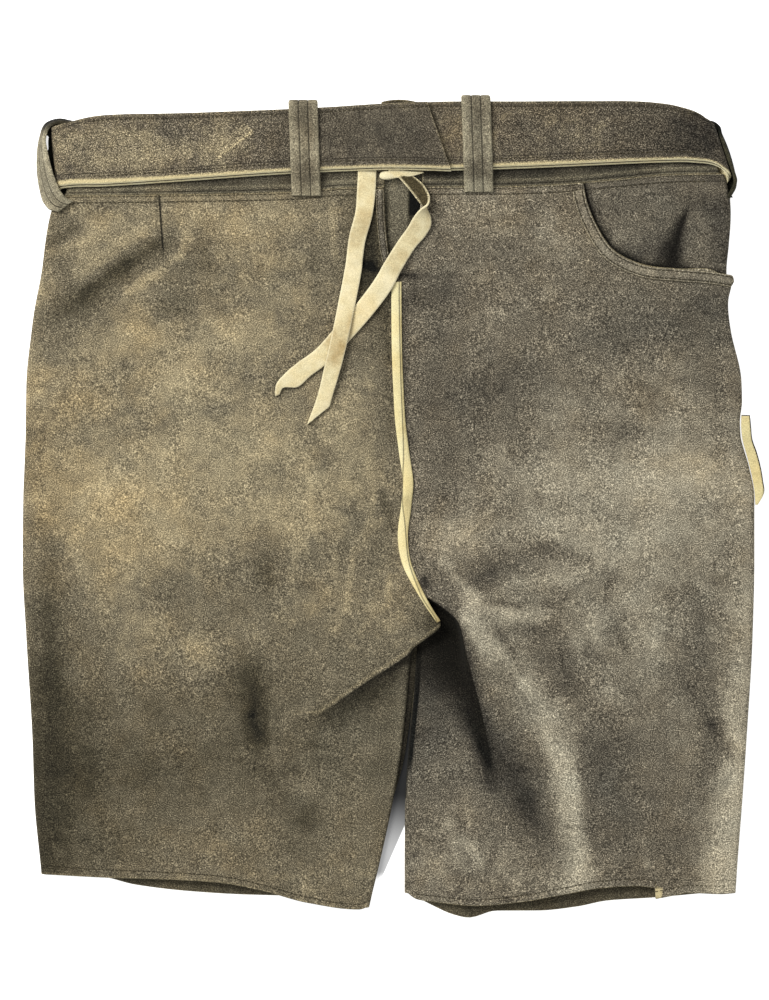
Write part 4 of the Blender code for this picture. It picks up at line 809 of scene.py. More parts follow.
def hide(name, shades, blotch=0.5, fleck=0.85, relief=0.22, presses="", pale_edge=0.35,
         toned=True, pale_mark=False, roughness=0.93, sheen=0.03, tuck=None, calm=False):
    """A suede or leather material made from the shared groups."""
    material, tree, shader = new_finish(name)
    deep, middle, pale = (ink(*map(float, shade.split())) for shade in shades.split(","))
    tone, warm = (measure(tree, "tone"), measure(tree, "warm")) if toned else (0.0, 0.0)
    colour = use(tree, WORN_AND_SHADED, Deep=deep, Middle=middle, Pale=pale, Tone=tone, Warm=warm,
                 Blotch=blotch)
    # Where suede is rubbed pale its nap is worn off, so it is less flecked.
    bald = ((colour.other("Level") - 0.45).clamped() * 0.7).math("MINIMUM", 0.27)
    if calm:
        bald = bald + measure(tree, "calm")
    fleck = (1.0 - bald).clamped() * fleck
    rub = use(tree, RUB, Border=measure(tree, "border"), Reach=1.5)
    colour = blend(tree, rub * pale_edge, colour, pale)
    if pale_mark:
        broken = measure(tree, "pale") + (noise(tree, 2.2) - 0.5) * 0.45
        cover = ramp(broken, 0.1, 0.9) * 0.92
        colour = blend(tree, cover, colour, CREAM_INK)
        fleck = (1.15 - cover) * fleck
    height = 0.0
    for row in filter(None, presses.split(",")):
        distance, *numbers = row.split()
        place, width, dark, down = map(float, numbers)
        mask = use(tree, LINE, Distance=measure(tree, distance), Place=place, Width=width)
        mark_ink = pale if dark < 0.0 else (0.010, 0.009, 0.007, 1.0)
        colour = blend(tree, mask * abs(dark), colour, mark_ink)
        height = height - mask * down
    # Painted shadow under a fold's edge, on the leather that lies below it.
    if tuck:       # the dark under a fold's edge: sharp at the edge, fading below it
        fading = (2.718 ** (measure(tree, tuck + "_fall") * -1.0)).math("MINIMUM", 1.0)
        below = (measure(tree, "under_" + tuck) * 1.6).clamped() * fading
        depth = below * measure(tree, tuck + "_gate") * TUCK_SHADOW[tuck]
        colour = blend(tree, depth, colour, (0.008, 0.007, 0.005, 1.0))
    nap = use(tree, NAP, Colour=colour, Fleck=fleck, Relief=relief)
    bump = wire(tree, "Bump", Height=height + nap.other("Height"), Distance=MM, Strength=1.0)
    fill(shader, Base_Color=nap, Normal=bump, Roughness=roughness, Specular_IOR_Level=0.08,
         Sheen_Weight=sheen, Sheen_Roughness=0.6, Sheen_Tint=(0.80, 0.76, 0.66, 1.0))
    print("finish:", name)
    return material

# %% The garment's finishes
# A press is: the measure it follows, its place, its width, how dark, and how deep.
SUEDE_SHADES = "72 66 51, 117 108 88, 183 167 131"
GREY_SHADES = "70 65 56, 115 107 91, 178 168 144"
# how dark the painted shadow under each fold's edge is
TUCK_SHADOW = {"left": 0.95, "right": 1.0}
WAIST_LINES = "from_waist 1.1 0.8 0.3 0.5, from_waist 5.2 0.9 0.3 0.5, "
LEG_LINES = WAIST_LINES + "from_hem 5.4 0.8 0.2 0.3, "
IN_SHADE = "shaded 1 0.75 0.8 0"       # dark where a piece is marked as shaded
PLAIN = {"toned": False, "pale_edge": 0.0}
# Left leg: painted shadow under the left fold, a painted highlight just above that fold's edge, and
# the dart as a dark line with painted shade along one side.
suede_left = hide("suede, left leg", SUEDE_SHADES, fleck=0.95, tuck="left", presses=LEG_LINES
                  + "left_rim 0 1.9 -0.24 0, dart_aside 0 1 0.92 1.2, dart_aside -1.6 2.6 0.22 0.5")
# Right leg: painted shadow under the right fold, and a dark line of painted shade along its inner
# edge between the legs.
suede_right = hide("suede, right leg", GREY_SHADES, fleck=0.96, pale_mark=True, tuck="right",
                   presses=LEG_LINES + "right_edge 0 1.5 0.9 0.4")
suede_plain = hide("suede, front and waist", SUEDE_SHADES)
# Pocket facing: a painted shadow along the pocket mouth's edge, and painted shade down a deep
# crease.
facing_suede = hide("suede, pocket facing", GREY_SHADES, fleck=1.0, presses=WAIST_LINES
                    + "from_mouth 0 2.2 1.2 0.3, from_mouth 0 6.5 0.8 0, trough 0 6 1 1.4")
# Waistband: a dark seam line just above its foot, and a painted highlight along the raised roll
# above that.
band_suede = hide("suede, waistband", "55 51 42, 92 86 71, 146 137 112", fleck=0.95,
                  presses="from_foot 1.4 0.9 0.6 0.5, from_foot 4 1.6 -0.3 -0.4")
cut_suede = hide("suede, cut edge", "84 77 60, 126 116 90, 180 165 130", presses=IN_SHADE,
                 **PLAIN)
reverse_suede = hide("suede, reverse", "54 50 39, 90 83 66, 128 118 94", presses=IN_SHADE,
                     **PLAIN)
strip_suede = hide("suede, stitched strip", GREY_SHADES, fleck=0.9,
                   presses="across 0.16 0.11 0.4 0.3, across 0.86 0.11 0.4 0.3")
belt_face = hide("belt, face", "54 50 43, 100 92 77, 164 150 118", blotch=0.62, fleck=1.15,
                 relief=0.2, pale_mark=True, pale_edge=0.25, roughness=0.86, calm=True,
                 presses="from_low 6.2 0.8 0.45 0.35, from_top 2.8 0.8 0.32 0.3, "
                         "scratch 0 1.8 -1 -0.1, scratch 3 10 -0.4 0")
belt_inner = hide("belt, inner ply", "40 36 28, 70 62 48, 110 98 74", **PLAIN)
cream_cut = hide("belt, pale cut edge", "206 190 142, 240 228 184, 252 246 214", fleck=0.16,
                 **PLAIN)
loop_hide = hide("loop leather", "60 56 44, 113 105 87, 172 163 136", fleck=0.7, relief=0.25,
                 presses="across 0.335 0.035 0.7 0.3, across 0.665 0.035 0.7 0.3, "
                         "across 0.5 0.2 0.2 0, across 0.1 0.16 -0.24 0, "
                         "across 0.9 0.16 -0.24 0, " + IN_SHADE)
loop_shade = hide("loop leather, in the shade", "26 27 21, 48 47 36, 86 80 60", fleck=0.7,
                  pale_edge=0.0)
lace_face = hide("lace, face", "184 160 112, 225 211 167, 242 232 196", blotch=0.9, fleck=0.15,
                 relief=0.1, pale_edge=0.5, sheen=0.15)
lace_back = hide("lace, reverse", "40 35 22, 72 64 44, 222 208 166", toned=False, blotch=0.1,
                 fleck=0.6, pale_edge=0.95)
welt_face = hide("welt, pale suede", "168 150 104, 228 213 158, 246 236 188", fleck=0.16,
                 pale_edge=0.0, presses="groove 0 0.7 0.6 0.5")
welt_dark = hide("welt backing", "40 37 28, 62 57 44, 90 82 64", **PLAIN)
thread = hide("thread", "46 42 30, 66 60 44, 96 88 66", fleck=0.2, **PLAIN)
brass, tree, shader = new_finish("brass plate")
tarnish = noise(tree, 6.0, 4.0)
fill(shader, Base_Color=blend(tree, tarnish, (0.52, 0.38, 0.16, 1.0), (0.66, 0.53, 0.28, 1.0)),
     Roughness=tarnish * 0.3 + 0.2, Metallic=1.0)

# %% [markdown]
# ## Laces
# A flat lace, cut from pale suede, is knotted under the belt's lower edge, and its two ends
# lie over the seat. Each end is a strip through a short table of both its edges, so it can
# tilt, turn over once and taper to its cut tip.

# %% Laces
LACE_LEFT = measured("ax ay lift_a bx by lift_b", """
    -11 236 1.6 -23.2 236 1.6, -10.9 226.9 1.7 -23 226.9 1.7, -11.4 214.2 2.3 -23.6 214.2 2.2,
    -13.6 197.6 2.5 -24.6 201 2.2, -18.4 180 2.3 -28.8 184.6 2.1, -21.1 159 2.6 -31.6 163.6 2.3,
    -25.2 137.5 4 -35.8 142 3.4, -29.6 115.6 4.4 -40.4 119 4.4, -35.6 92 4.2 -45.6 96 4.2,
    -40.8 74.4 2.4 -50.2 77 2.3, -42.4 68.4 1.9 -57.6 56.2 1.8""")
LACE_RIGHT = measured("ax ay lift_a bx by lift_b", """
    3.6 224.6 3 12.4 225.4 1.7, 8.2 219.6 3.4 18.4 221.2 2.6, 13.6 213.5 3.2 23.1 215.9 4.6,
    19 207.4 2.4 25.8 209.4 6.8, 23.8 202.6 2 24.8 204.7 8.8, 26.4 197 2.2 19.7 201.3 8,
    26.4 191 2.4 14.8 196.2 5.4, 23.1 185 2.2 11.4 190.4 3.8, 15.9 176.5 2.4 5.4 182.2 3,
    7.5 163.2 3.2 -3.1 169 3.6, -1.1 147.3 3.8 -12.2 153.7 3.8, -12 132.7 2.6 -22.4 140.1 2.6,
    -29 113.3 2 -38.1 122.4 2, -46 96.3 2 -53.4 105.7 2, -55.8 89 2.1 -63.2 98.6 2.2,
    -64.3 81.7 2.2 -72.1 91.1 2.8, -74.8 80.4 2.6 -78.8 82.4 2.9, -76.6 76.4 2 -79.2 75.6 2""")
LACE_KNOT = (-3.4, 225.2)      # middle of the knot, just below the belt
LACE_KNOT_SIZE = (11.4, 6.4, 4.0)


def floor_height(x, y):
    """Upper face of whatever lies under a lace or the seam welt: waistband or panel."""
    panel = back_top(x, np.minimum(y, 212.0), "left")
    return np.maximum(panel, WAIST_TOP * (y > 210.0))


LACE_STATIONS = 170

# %% Lace ends
def make_lace_end(name, rows):
    """One free end of the lace, its middle line and how long it is."""
    edge_a, edge_b = both_edges(rows, even(LACE_STATIONS))
    for line in (edge_a, edge_b):
        line[:, 2] += floor_height(line[:, 0], line[:, 1])
    profile = [(f, 0.25 * math.sin(math.pi * f)) for f in even(12)]
    middle = (edge_a + edge_b) / 2.0
    spot = dapple(middle[:, 0], middle[:, 1], 17.0, 21)[:, None] * 0.5
    item = strip(name + "_suede", "lace_suede", edge_a, edge_b, LACE,
                 (lace_face, lace_face, lace_back), profile=profile, bulge=0.2,
                 marks={"tone": spot, "warm": spot * 0.5 + 0.1})
    tip = (middle[-1] + edge_b[-1]) / 2.0          # the slanted cut ends in a point
    path = np.vstack([middle, tip]) * MM
    run = float(np.linalg.norm(np.diff(path, axis=0), axis=1).sum())
    print(name, "is", round(run * 1000), "mm long")
    return item, path, run


lace_left, path_left, run_left = make_lace_end("lace_end_left", LACE_LEFT)
lace_right, path_right, run_right = make_lace_end("lace_end_right", LACE_RIGHT)

# %% Knot
KNOT_TURNS = 3                 # turns of lace that show round the knot
knot_u = np.linspace(0.0, 2.0 * math.pi, 60, endpoint=False)
knot_v = np.linspace(-0.5, 0.5, 28) * math.pi
uu, vv = np.meshgrid(knot_u, knot_v)
wrap = 1.0 + 0.07 * np.cos(KNOT_TURNS * (uu + 0.8 * vv) + 0.6) + 0.05 * np.cos(2 * uu - 3 * vv)
knot_half = np.array(LACE_KNOT_SIZE) / 2.0
knot_points = np.stack([np.cos(vv) ** 0.8 * np.cos(uu) * wrap * knot_half[0],
                        np.cos(vv) ** 0.8 * np.sin(uu) * wrap * knot_half[1],
                        np.sin(vv) * knot_half[2]], axis=-1)
knot_points += (LACE_KNOT[0] + 0.6, LACE_KNOT[1], WAIST_TOP + 0.4 + knot_half[2])
tail_top = np.array([(-2.0, 229.0, 14.8), (6.0, 228.6, 14.6), (13.0, 227.6, 14.2),
                     (20.5, 227.6, 13.6)])
tail_low = tail_top + [(-0.6, -5.6, -1.4), (0.0, -4.6, -1.0), (0.6, -2.6, -0.6), (0.8, -0.5, -0.2)]
knot = make_item("lace_knot_suede", [knot_points.reshape(-1, 3)],
                 ring_faces(*uu.shape, caps=False), (lace_face,))
for key in ("tone", "warm"):
    knot.data.attributes.new(key, "FLOAT", "POINT")
settle(knot, "lace_suede")
tail_at = even(40)
tail = strip("lace_knot_tail", "lace_suede", flow_line(tail_low, tail_at),
             flow_line(tail_top, tail_at), 1.0, (lace_face,), marks={"tone": 0.0, "warm": 0.1})
tuple(path_left[0])
tuple(path_right[0])

# %% [markdown]
# ## Panels
# Each leg has a back and a front panel. A panel is a grid stretched between its four edges,
# laid on the heights above, then carried round the side fold a quarter turn. The back also
# rolls down along the inside of the leg. The solids are made in the same way with few rows;
# here the rows are 1 to 2 millimetres apart, so that small creases hold.

# %% Panel helpers
FACES = {}                     # face grids of the panels and straps, for their cut sizes
ENDS = np.array([0.0, 1.0])    # the fractions at both ends of an edge
SIGN = {"left": -1.0, "right": 1.0}
WAIST_CORNER = 211.2           # how high the panels reach at the side folds
HEM_INNER = {"left": -272.5, "right": -262.5}      # where a back hem ends inside the leg
HEM_OUTER = {"left": -249.6, "right": -262.5}      # and at the side fold
FRONT_HEM_ENDS = {"left": (-264.0, -248.8), "right": (-261.0, -260.8)}


def panel(node, grid, finish, marks, faces_up=True, edge=cut_suede, thickness=SUEDE):
    """A panel in its place: a face with a finish of its own, a cut edge and a reverse."""
    FACES[node] = grid
    item = leather(node + "_suede", grid, (finish, edge, reverse_suede), thickness,
                   faces_up=faces_up, marks=marks)
    return settle(item, "suede")


def spread(*stretches):
    """Fractions from a few stretches (start, stop, steps) laid end to end."""
    parts = [np.linspace(a, b, n, endpoint=False) for a, b, n in stretches]
    return np.append(np.concatenate(parts), stretches[-1][1])


def patch(top, bottom, inner, outer, us, vs):
    """Coons patch between four boundary curves, each a function of fractions."""
    t, b, i, o = top(us), bottom(us), inner(vs), outer(vs)
    u, v = us[None, :, None], vs[:, None, None]
    ruled = (1 - v) * t[None] + v * b[None] + (1 - u) * i[:, None] + u * o[:, None]
    corners = ((1 - u) * (1 - v) * t[0] + u * (1 - v) * t[-1]
               + (1 - u) * v * b[0] + u * v * b[-1])
    return ruled - corners


def edge_curve(rows, start, stop):
    """Boundary running across from x = start to x = stop along a table of places."""
    def curve(f):
        x = start + (stop - start) * f
        return np.stack([x, flow(rows, "x", "y", x)], axis=1)
    return curve


def side_curve(rows, column, y_top, y_bottom, inset):
    """Boundary running down a side, moved inward by inset(y)."""
    def curve(f):
        y = y_top + (y_bottom - y_top) * f
        return np.stack([flow(rows, "y", column, y) + inset(y), y], axis=1)
    return curve


def side_radius(y):
    """Radius of a side fold, less half the seam between the rims of front and back."""
    return side_height(y) / 2.0 - SEAM


def roll(edge, out, down, turns):
    """Columns that carry an edge round a fold, out and down by a quarter turn."""
    columns = np.repeat(edge[:, None], len(turns), axis=1)
    columns[..., 0] += np.outer(out, np.sin(np.radians(turns)))
    columns[..., 2] -= np.outer(down, 1.0 - np.cos(np.radians(turns)))
    return columns


def add_side_roll(grid, sign, downward):
    """Columns that carry a panel round its side fold, a quarter turn down or up."""
    radius = side_radius(grid[:, -1, 1])
    down = radius if downward else -radius
    return np.append(grid, roll(grid[:, -1], sign * radius, down, SIDE_TURNS), axis=1)


def add_leg_roll(grid, sign, drop):
    """Columns that roll a back panel down to the front along the inside of the leg."""
    edge = grid[:, 0]
    out = np.full(len(edge), -sign * LEG_ROLL)
    return np.append(roll(edge, out, drop(edge), LEG_TURNS), grid, axis=1)


def scoop_lift(x, y):
    """The back right panel rises over the pocket facing near the pocket mouth."""
    return (SUEDE + SEAM) * (1.0 - smooth((distance_to_line(x, y, SCOOP) - 12.0) / 22.0))

# %% Back panels
def back_grid(leg, us, vs):
    """Outer face of a back panel, from the inside of the leg out round the side fold."""
    sign = SIGN[leg]
    waist_inner = float(flow(BACK_INNER, "y", leg, 217.0))
    inner = side_curve(BACK_INNER, leg, float(flow(WAIST, "x", "y", waist_inner)) - SEAM,
                       HEM_INNER[leg], lambda y: sign * LEG_ROLL)
    start, foot = inner(ENDS)
    if leg == "left":
        outer = side_curve(SIDES, leg, WAIST_CORNER, HEM_OUTER[leg], side_radius)
        end = outer(ENDS)
        top_edge = edge_curve(WAIST, start[0], end[0][0])

        def top(f):
            return top_edge(f) - (0.0, SEAM)
        bottom = edge_curve(BACK_HEM_LEFT, foot[0], end[1][0])
    else:
        def flare(y):
            return -side_radius(y) + 3.6 * np.exp(-((y - 152.6) / 9.0) ** 2)
        outer = side_curve(SIDES, leg, SCOOP[-1].y, HEM_OUTER[leg], flare)
        end = outer(ENDS)
        seam_part = edge_curve(WAIST, start[0], SCOOP[0].x)(even(6))
        seam_part[:, 1] -= SEAM
        mouth = np.array(SCOOP[1:-1] + [tuple(end[0])])

        def top(f):
            split = 0.42
            left_part = flow_line(seam_part, np.clip(f / split, 0.0, 1.0))
            points = np.concatenate([seam_part[-1:], mouth])
            right_part = flow_line(points, np.clip((f - split) / (1.0 - split), 0.0, 1.0))
            return np.where((f <= split)[:, None], left_part, right_part)

        def bottom(f):
            x = foot[0] + (end[1][0] - foot[0]) * f
            main = flow(BACK_HEM_RIGHT, "x", "y", x)
            tail = flow(BACK_HEM_STEP, "x", "y", x)
            return np.stack([x, np.where(x < BACK_HEM_STEP[0].x, main, tail)], axis=1)
    flat = patch(top, bottom, inner, outer, us, vs)
    x, y = flat[..., 0], flat[..., 1]
    z = back_top(x, y, leg)
    if leg == "right":
        z = z + scoop_lift(x, y)
    grid = np.dstack([x, y, z])

    def roll_drop(edge):
        leg_part = smooth((-62.0 - edge[:, 1]) / (30.0 if leg == "left" else 12.0))
        if leg == "left":
            leg_part = leg_part * smooth((-84.0 - edge[:, 1]) / 12.0) * 0.8 + leg_part * 0.2
        return 0.5 + leg_part * (edge[:, 2] - SUEDE - 2 * SEAM - 0.5)
    grid = add_leg_roll(grid, sign, roll_drop)
    return add_side_roll(grid, sign, downward=True)

# %% Measures of a back panel
ROWS = spread((0.0, 0.10, 26), (0.10, 0.55, 100), (0.55, 0.74, 62), (0.74, 1.0, 60))
LEFT_COLUMNS = spread((0.0, 0.24, 42), (0.24, 0.88, 76), (0.88, 1.0, 14))
DART = ((-158.1, 213.0), (-155.6, 175.5))      # top and foot of the dart
# Crease ridges are painted paler and troughs darker: partly rubbed wear, partly painted light and
# shade.
CREASE_WEAR_AND_SHADE = 0.4              # how much paler a ridge is rubbed, and a trough darker


def panel_marks(grid, where, hem_rows):
    """Measures of a panel that its finish needs: wear and painted shade, how far seam and hem are,
    and where painted shadows fall.
    """
    x, y = grid[..., 0], grid[..., 1]
    marks = wear_and_shade_at(where, x, y)
    marks["tone"] = marks["tone"] + CREASE_WEAR_AND_SHADE * creases(x, y)
    marks["from_waist"] = flow(WAIST, "x", "y", x) - y
    marks["from_hem"] = y - flow(hem_rows, "x", "y", x)
    # Where the painted shadows under the two fold edges fall: how far below each edge, how fast
    # they fade, and where they start and stop.
    marks["under_left"] = (flow(LEFT_TUCK, "x", "y", x) - y) * 0.8
    marks["left_gate"] = smooth((x + 66.0) / 48.0) * (x < 44.0)
    marks["left_fall"] = marks["under_left"] / 9.5
    # Painted highlight: a pale line just above the left fold's edge, over part of its length.
    highlight_gate = smooth((x + 84.0) / 30.0) * (x < 36.0)
    marks["left_rim"] = (marks["under_left"] + 1.7) * (1.0 + 30.0 * (1.0 - highlight_gate))
    marks["under_right"] = flow(RIGHT_TUCK, "y", "x", y) - x
    reach = 9.0 + 13.0 * smooth((y + 165.0) / 40.0) + 60.0 * smooth((y + 137.0) / 48.0)
    marks["right_fall"] = np.abs(marks["under_right"] / reach) ** 2
    marks["right_gate"] = smooth((y + 196.0) / 50.0) * smooth((-59.0 - y) / 4.0)
    # Distance from the right leg's inner edge, between the legs only, for the line of painted shade
    # along it.
    marks["right_edge"] = (x - flow(BACK_INNER, "y", "right", y)
                           + 9.0 * smooth((y + 100.0) / 10.0) + 9.0 * smooth((-196.0 - y) / 20.0))
    return marks

# %% Left back panel
left_face = back_grid("left", LEFT_COLUMNS, ROWS)
left_marks = panel_marks(left_face, "legs", BACK_HEM_LEFT)
leg_edge = left_face[..., 0] - flow(BACK_INNER, "y", "left", left_face[..., 1])
# Painted shade: the left leg's inner edge is darkened below the crotch, where the legs meet.
left_marks["tone"] -= 1.8 * smooth((leg_edge + 1.0) / 1.5) * (left_face[..., 1] < -96.0)
dart_aside, dart_along = signed_aside(left_face[..., 0], left_face[..., 1], *DART)
past_dart = np.maximum(dart_along - 1.0, 0.0) * 37.0
left_marks["dart_aside"] = dart_aside + np.sign(dart_aside + 1e-6) * past_dart * 2.0
panel("back_left", left_face, suede_left, left_marks)

# %% Right back panel
hem_y = HEM_OUTER["right"]
edge_x = float(flow(BACK_INNER, "y", "right", hem_y)) + LEG_ROLL
end_x = float(flow(SIDES, "y", "right", hem_y)) - float(side_radius(hem_y))
step_at = (BACK_HEM_STEP[0].x - edge_x) / (end_x - edge_x)
blade = 0.6 / (end_x - edge_x)
RIGHT_COLUMNS = spread((0.0, 0.24, 42), (0.24, step_at - blade, 62), (step_at - blade, step_at, 1),
                       (step_at, 1.0, 30))
right_face = back_grid("right", RIGHT_COLUMNS, ROWS)
right_marks = panel_marks(right_face, "legs", BACK_HEM_RIGHT)
right_x, right_y = right_face[..., 0], right_face[..., 1]
from_inseam = right_x - flow(BACK_INNER, "y", "right", right_y)
# Painted shade: darkest along the inside of the right leg, between the legs, below the crotch.
right_marks["tone"] -= (2.4 * (1.0 - smooth((from_inseam - 2.6) / 1.6))
                        * smooth((right_y + 190.0) / 30.0) * smooth((-92.0 - right_y) / 8.0))
right_marks["pale"] = (smooth((right_x - 178.6) / 0.8) * smooth((184.6 - right_x) / 2.0)
                       * smooth((-257.5 - right_y) / 3.0))
panel("back_right", right_face, suede_right, right_marks)

# %% Front panels
def front_grid(leg, us, vs):
    """Underside of a front panel, flat on the table, turning up at the side fold."""
    sign = SIGN[leg]
    hem = FRONT_HEM_LEFT if leg == "left" else FRONT_HEM_RIGHT
    foot_y, side_y = FRONT_HEM_ENDS[leg]
    inner = side_curve(FRONT_INNER, leg, WAIST_CORNER, foot_y, lambda y: 0.0 * y)

    def inset(y):
        return -sign * side_radius(y)
    outer = side_curve(SIDES, leg, WAIST_CORNER, side_y, inset)
    ends = inner(ENDS), outer(ENDS)

    def top(f):
        return ends[0][0] + (ends[1][0] - ends[0][0]) * f[:, None]
    bottom = edge_curve(hem, ends[0][1][0], ends[1][1][0])
    flat = patch(top, bottom, inner, outer, us, vs)
    grid = np.dstack([flat[..., 0], flat[..., 1], front_rise(flat[..., 1])])
    return add_side_roll(grid, sign, downward=False)


for leg, hem_rows in (("left", FRONT_HEM_LEFT), ("right", FRONT_HEM_RIGHT)):
    grid = front_grid(leg, even(61), even(111))
    marks = wear_and_shade_at("legs", -grid[..., 0], grid[..., 1] + 20.0)
    between_legs = np.exp(-((grid[..., 0] - 7.0) / 16.0) ** 2) * (grid[..., 1] < -60.0)
    marks["shaded"] = between_legs * smooth((grid[..., 1] + 215.0) / 30.0)
    panel("front_" + leg, grid, suede_plain, marks, faces_up=False)

# %% [markdown]
# ## Pocket
# The back of the pocket is a separate panel that shows in the scooped mouth. A strip of the
# same suede is stitched along the mouth, so the mouth keeps its shape. It is built from the
# mouth's own line, on the panel's own heights.

# %% Pocket facing
FACING_UNDER = 10.0            # how far the facing reaches under the back panel


def facing_grid(us, vs):
    """The panel behind the scooped mouth, dipping a little inside it."""
    def top(f):
        start_x, stop_x = SCOOP[0].x - 8.0, 226.0 - side_radius(226.0)
        x = start_x + (stop_x - start_x) * f
        return np.stack([x, flow(WAIST, "x", "y", x) - SEAM], axis=1)

    def bottom(f):
        x = 150.0 + (227.8 - side_radius(150.0) - 150.0) * f
        return np.stack([x, 164.0 - FACING_UNDER + 3.4 * smooth((f - 0.6) / 0.4)], axis=1)
    (start, corner), (foot, end) = top(ENDS), bottom(ENDS)
    inner_line = np.array([start, (126.0, 200.0), (133.0, 178.0), foot])

    def inner(f):
        return flow_line(inner_line, f)

    def outer(f):
        y = corner[1] + (end[1] - corner[1]) * f
        x = flow(SIDES, "y", "right", y) - side_radius(y)
        ease = (corner[0] - x[0]) * (1.0 - f) + (end[0] - x[-1]) * f
        return np.stack([x + ease, y], axis=1)
    flat = patch(top, bottom, inner, outer, us, vs)
    dip = 0.5 * smooth(vs / 0.3)[:, None] * (1.0 - smooth((us - 0.7) / 0.3))[None, :]
    z = back_top(flat[..., 0], flat[..., 1], "right") - dip
    grid = np.dstack([flat[..., 0], flat[..., 1], z])
    return add_side_roll(grid, 1.0, downward=True)


facing_face = facing_grid(even(91), even(71))

# %% Marks of the facing
FACING_TROUGH = ((203.0, 206.0), (191.6, 162.0))     # a deep crease, its head and its foot
facing_marks = wear_and_shade_at("facing", facing_face[..., 0], facing_face[..., 1])
facing_marks["from_mouth"] = distance_to_line(facing_face[..., 0], facing_face[..., 1], SCOOP)
bow = 3.0 * np.sin(math.pi * np.clip((206.0 - facing_face[..., 1]) / 44.0, 0.0, 1.0))
aside, along = signed_aside(facing_face[..., 0] + bow, facing_face[..., 1], *FACING_TROUGH)
widening = 0.5 + 2.3 * np.clip(along, 0.0, 1.0)
# Painted shade down the crease: the trough press darkens along this line, wider towards its foot,
# and presses it in.
facing_marks["trough"] = (np.where(aside < 0.0, -aside, 1.25 * aside) / widening
                          + 5.0 * (1.0 - smooth((along + 0.05) / 0.3)))
facing_marks["from_waist"] = flow(WAIST, "x", "y", facing_face[..., 0]) - facing_face[..., 1]
panel("pocket_facing", facing_face, facing_suede, facing_marks)

# %% Pocket strip
BINDING_WIDTH = 8.0
BINDING = 0.9                  # thickness of the stitched edge strips
MOUTH_STATIONS = 150
mouth_table = SCOOP[:-2] + [(217.0, 159.9), (233.0, 157.4)]
mouth = flow_line(mouth_table, np.linspace(0.035, 1.0, MOUTH_STATIONS))
mouth_along = np.gradient(mouth, axis=0)
mouth_in = np.stack([mouth_along[:, 1], -mouth_along[:, 0]], axis=1)
mouth_in /= np.linalg.norm(mouth_in, axis=1)[:, None]


def on_mouth(off):
    """A line on the panel, off millimetres in from the pocket mouth."""
    place = mouth + mouth_in * off
    inside = np.minimum(place[:, 0], 221.0)        # past the side fold the strip stands free
    height = back_top(inside, place[:, 1], "right") + scoop_lift(*place.T)
    return np.column_stack([place, height + SEAM + BINDING + 0.2])


STRIP_PROFILE = [(f, 0.5 * math.sin(math.pi * f) ** 0.7 - 0.35 * math.exp(-((f - 0.16) / 0.06) ** 2)
                  - 0.35 * math.exp(-((f - 0.86) / 0.06) ** 2)) for f in even(17)]
to_end = (1.0 - even(MOUTH_STATIONS)) * 145.0
STRIP_CORNER = 3.2             # radius of the strip's rounded end
tuck_in = STRIP_CORNER - np.sqrt(np.maximum(
    STRIP_CORNER ** 2 - np.maximum(STRIP_CORNER - to_end, 0.0) ** 2, 0.0))
mouth_edge, mouth_foot = on_mouth(0.4 + tuck_in[:, None]), on_mouth(BINDING_WIDTH
                                                                    - tuck_in[:, None])
mouth_tone = wear_and_shade_at("legs", mouth[:, 0:1], mouth[:, 1:2])
mouth_tone["tone"] = mouth_tone["tone"] + 0.22
STRIP_FINISHES = (strip_suede, cut_suede, reverse_suede)
strip("pocket_binding_suede", "suede", mouth_edge, mouth_foot, BINDING, STRIP_FINISHES,
      profile=STRIP_PROFILE, marks=mouth_tone)

# %% [markdown]
# ## Centre of the seat
# A let-in strip, the gusset, gives room at the waist. The left panel's edge along it is bound
# with a narrow stitched strip.

# %% Gusset
GUSSET = measured("y left right", """
    277.4 -6.8 16.3, 262 -8.5 19.5, 240 -10.5 25.5, 217 -11.5 26.5, 198 -10.8 24.5,
    180 -9.4 18.2, 165 -6.8 13.2, 152 -3 8.6""")
gusset_rows = []
for y in np.linspace(GUSSET[0].y, GUSSET[-1].y, 120):
    x = np.linspace(float(flow(GUSSET, "y", "left", y)), float(flow(GUSSET, "y", "right", y)), 40)
    under = back_top(x, np.full(40, min(y, 212.0)), "left") - SUEDE - SEAM
    z = np.minimum(under, WAIST_TOP - SUEDE - SEAM)
    near_head = 0.7 + 1.5 * np.linspace(-1.0, 1.0, 40) ** 2      # the head is a flat bow
    gusset_rows.append(np.stack([x, y - near_head * smooth((y - 262.0) / 15.0), z], axis=1))
gusset_face = np.array(gusset_rows)
gx, gy = gusset_face[..., 0], gusset_face[..., 1]
# Painted shade on the gusset: darker down its length, dark at its turned-over head, darkest in the
# fold along its right side, and in a thin line at its left beside the edge strip.
fold_shade = (1.1 + 1.3 * smooth((gy - 195.0) / 6.0)) * smooth((gx - 9.6) / 3.4)
gusset_tone = (-0.1 - 0.6 * smooth((205.0 - gy) / 30.0) - 1.8 * smooth((gy - 258.0) / 8.0)
               - fold_shade * (gy < 222.0) - 0.7 * np.exp(-((gx + 3.4) / 1.6) ** 2))
gusset_marks = {"tone": gusset_tone + 0.3 * dapple(gx, gy, 9.0, 31), "warm": -1.1}
panel("gusset", gusset_face, suede_plain, gusset_marks, edge=welt_dark, thickness=PLY)
gusset_y = np.linspace(215.5, 158.0, 70)
gusset_line = flow(BACK_INNER, "y", "left", gusset_y)


def beside_gusset(off):
    x = gusset_line - off
    return np.column_stack([x, gusset_y, back_top(x, gusset_y, "left") + SEAM + 0.3 + BINDING])


strip("gusset_edge_suede", "suede", beside_gusset(0.5), beside_gusset(5.4), BINDING,
      STRIP_FINISHES, profile=STRIP_PROFILE, marks={"tone": -0.3, "warm": -0.4})

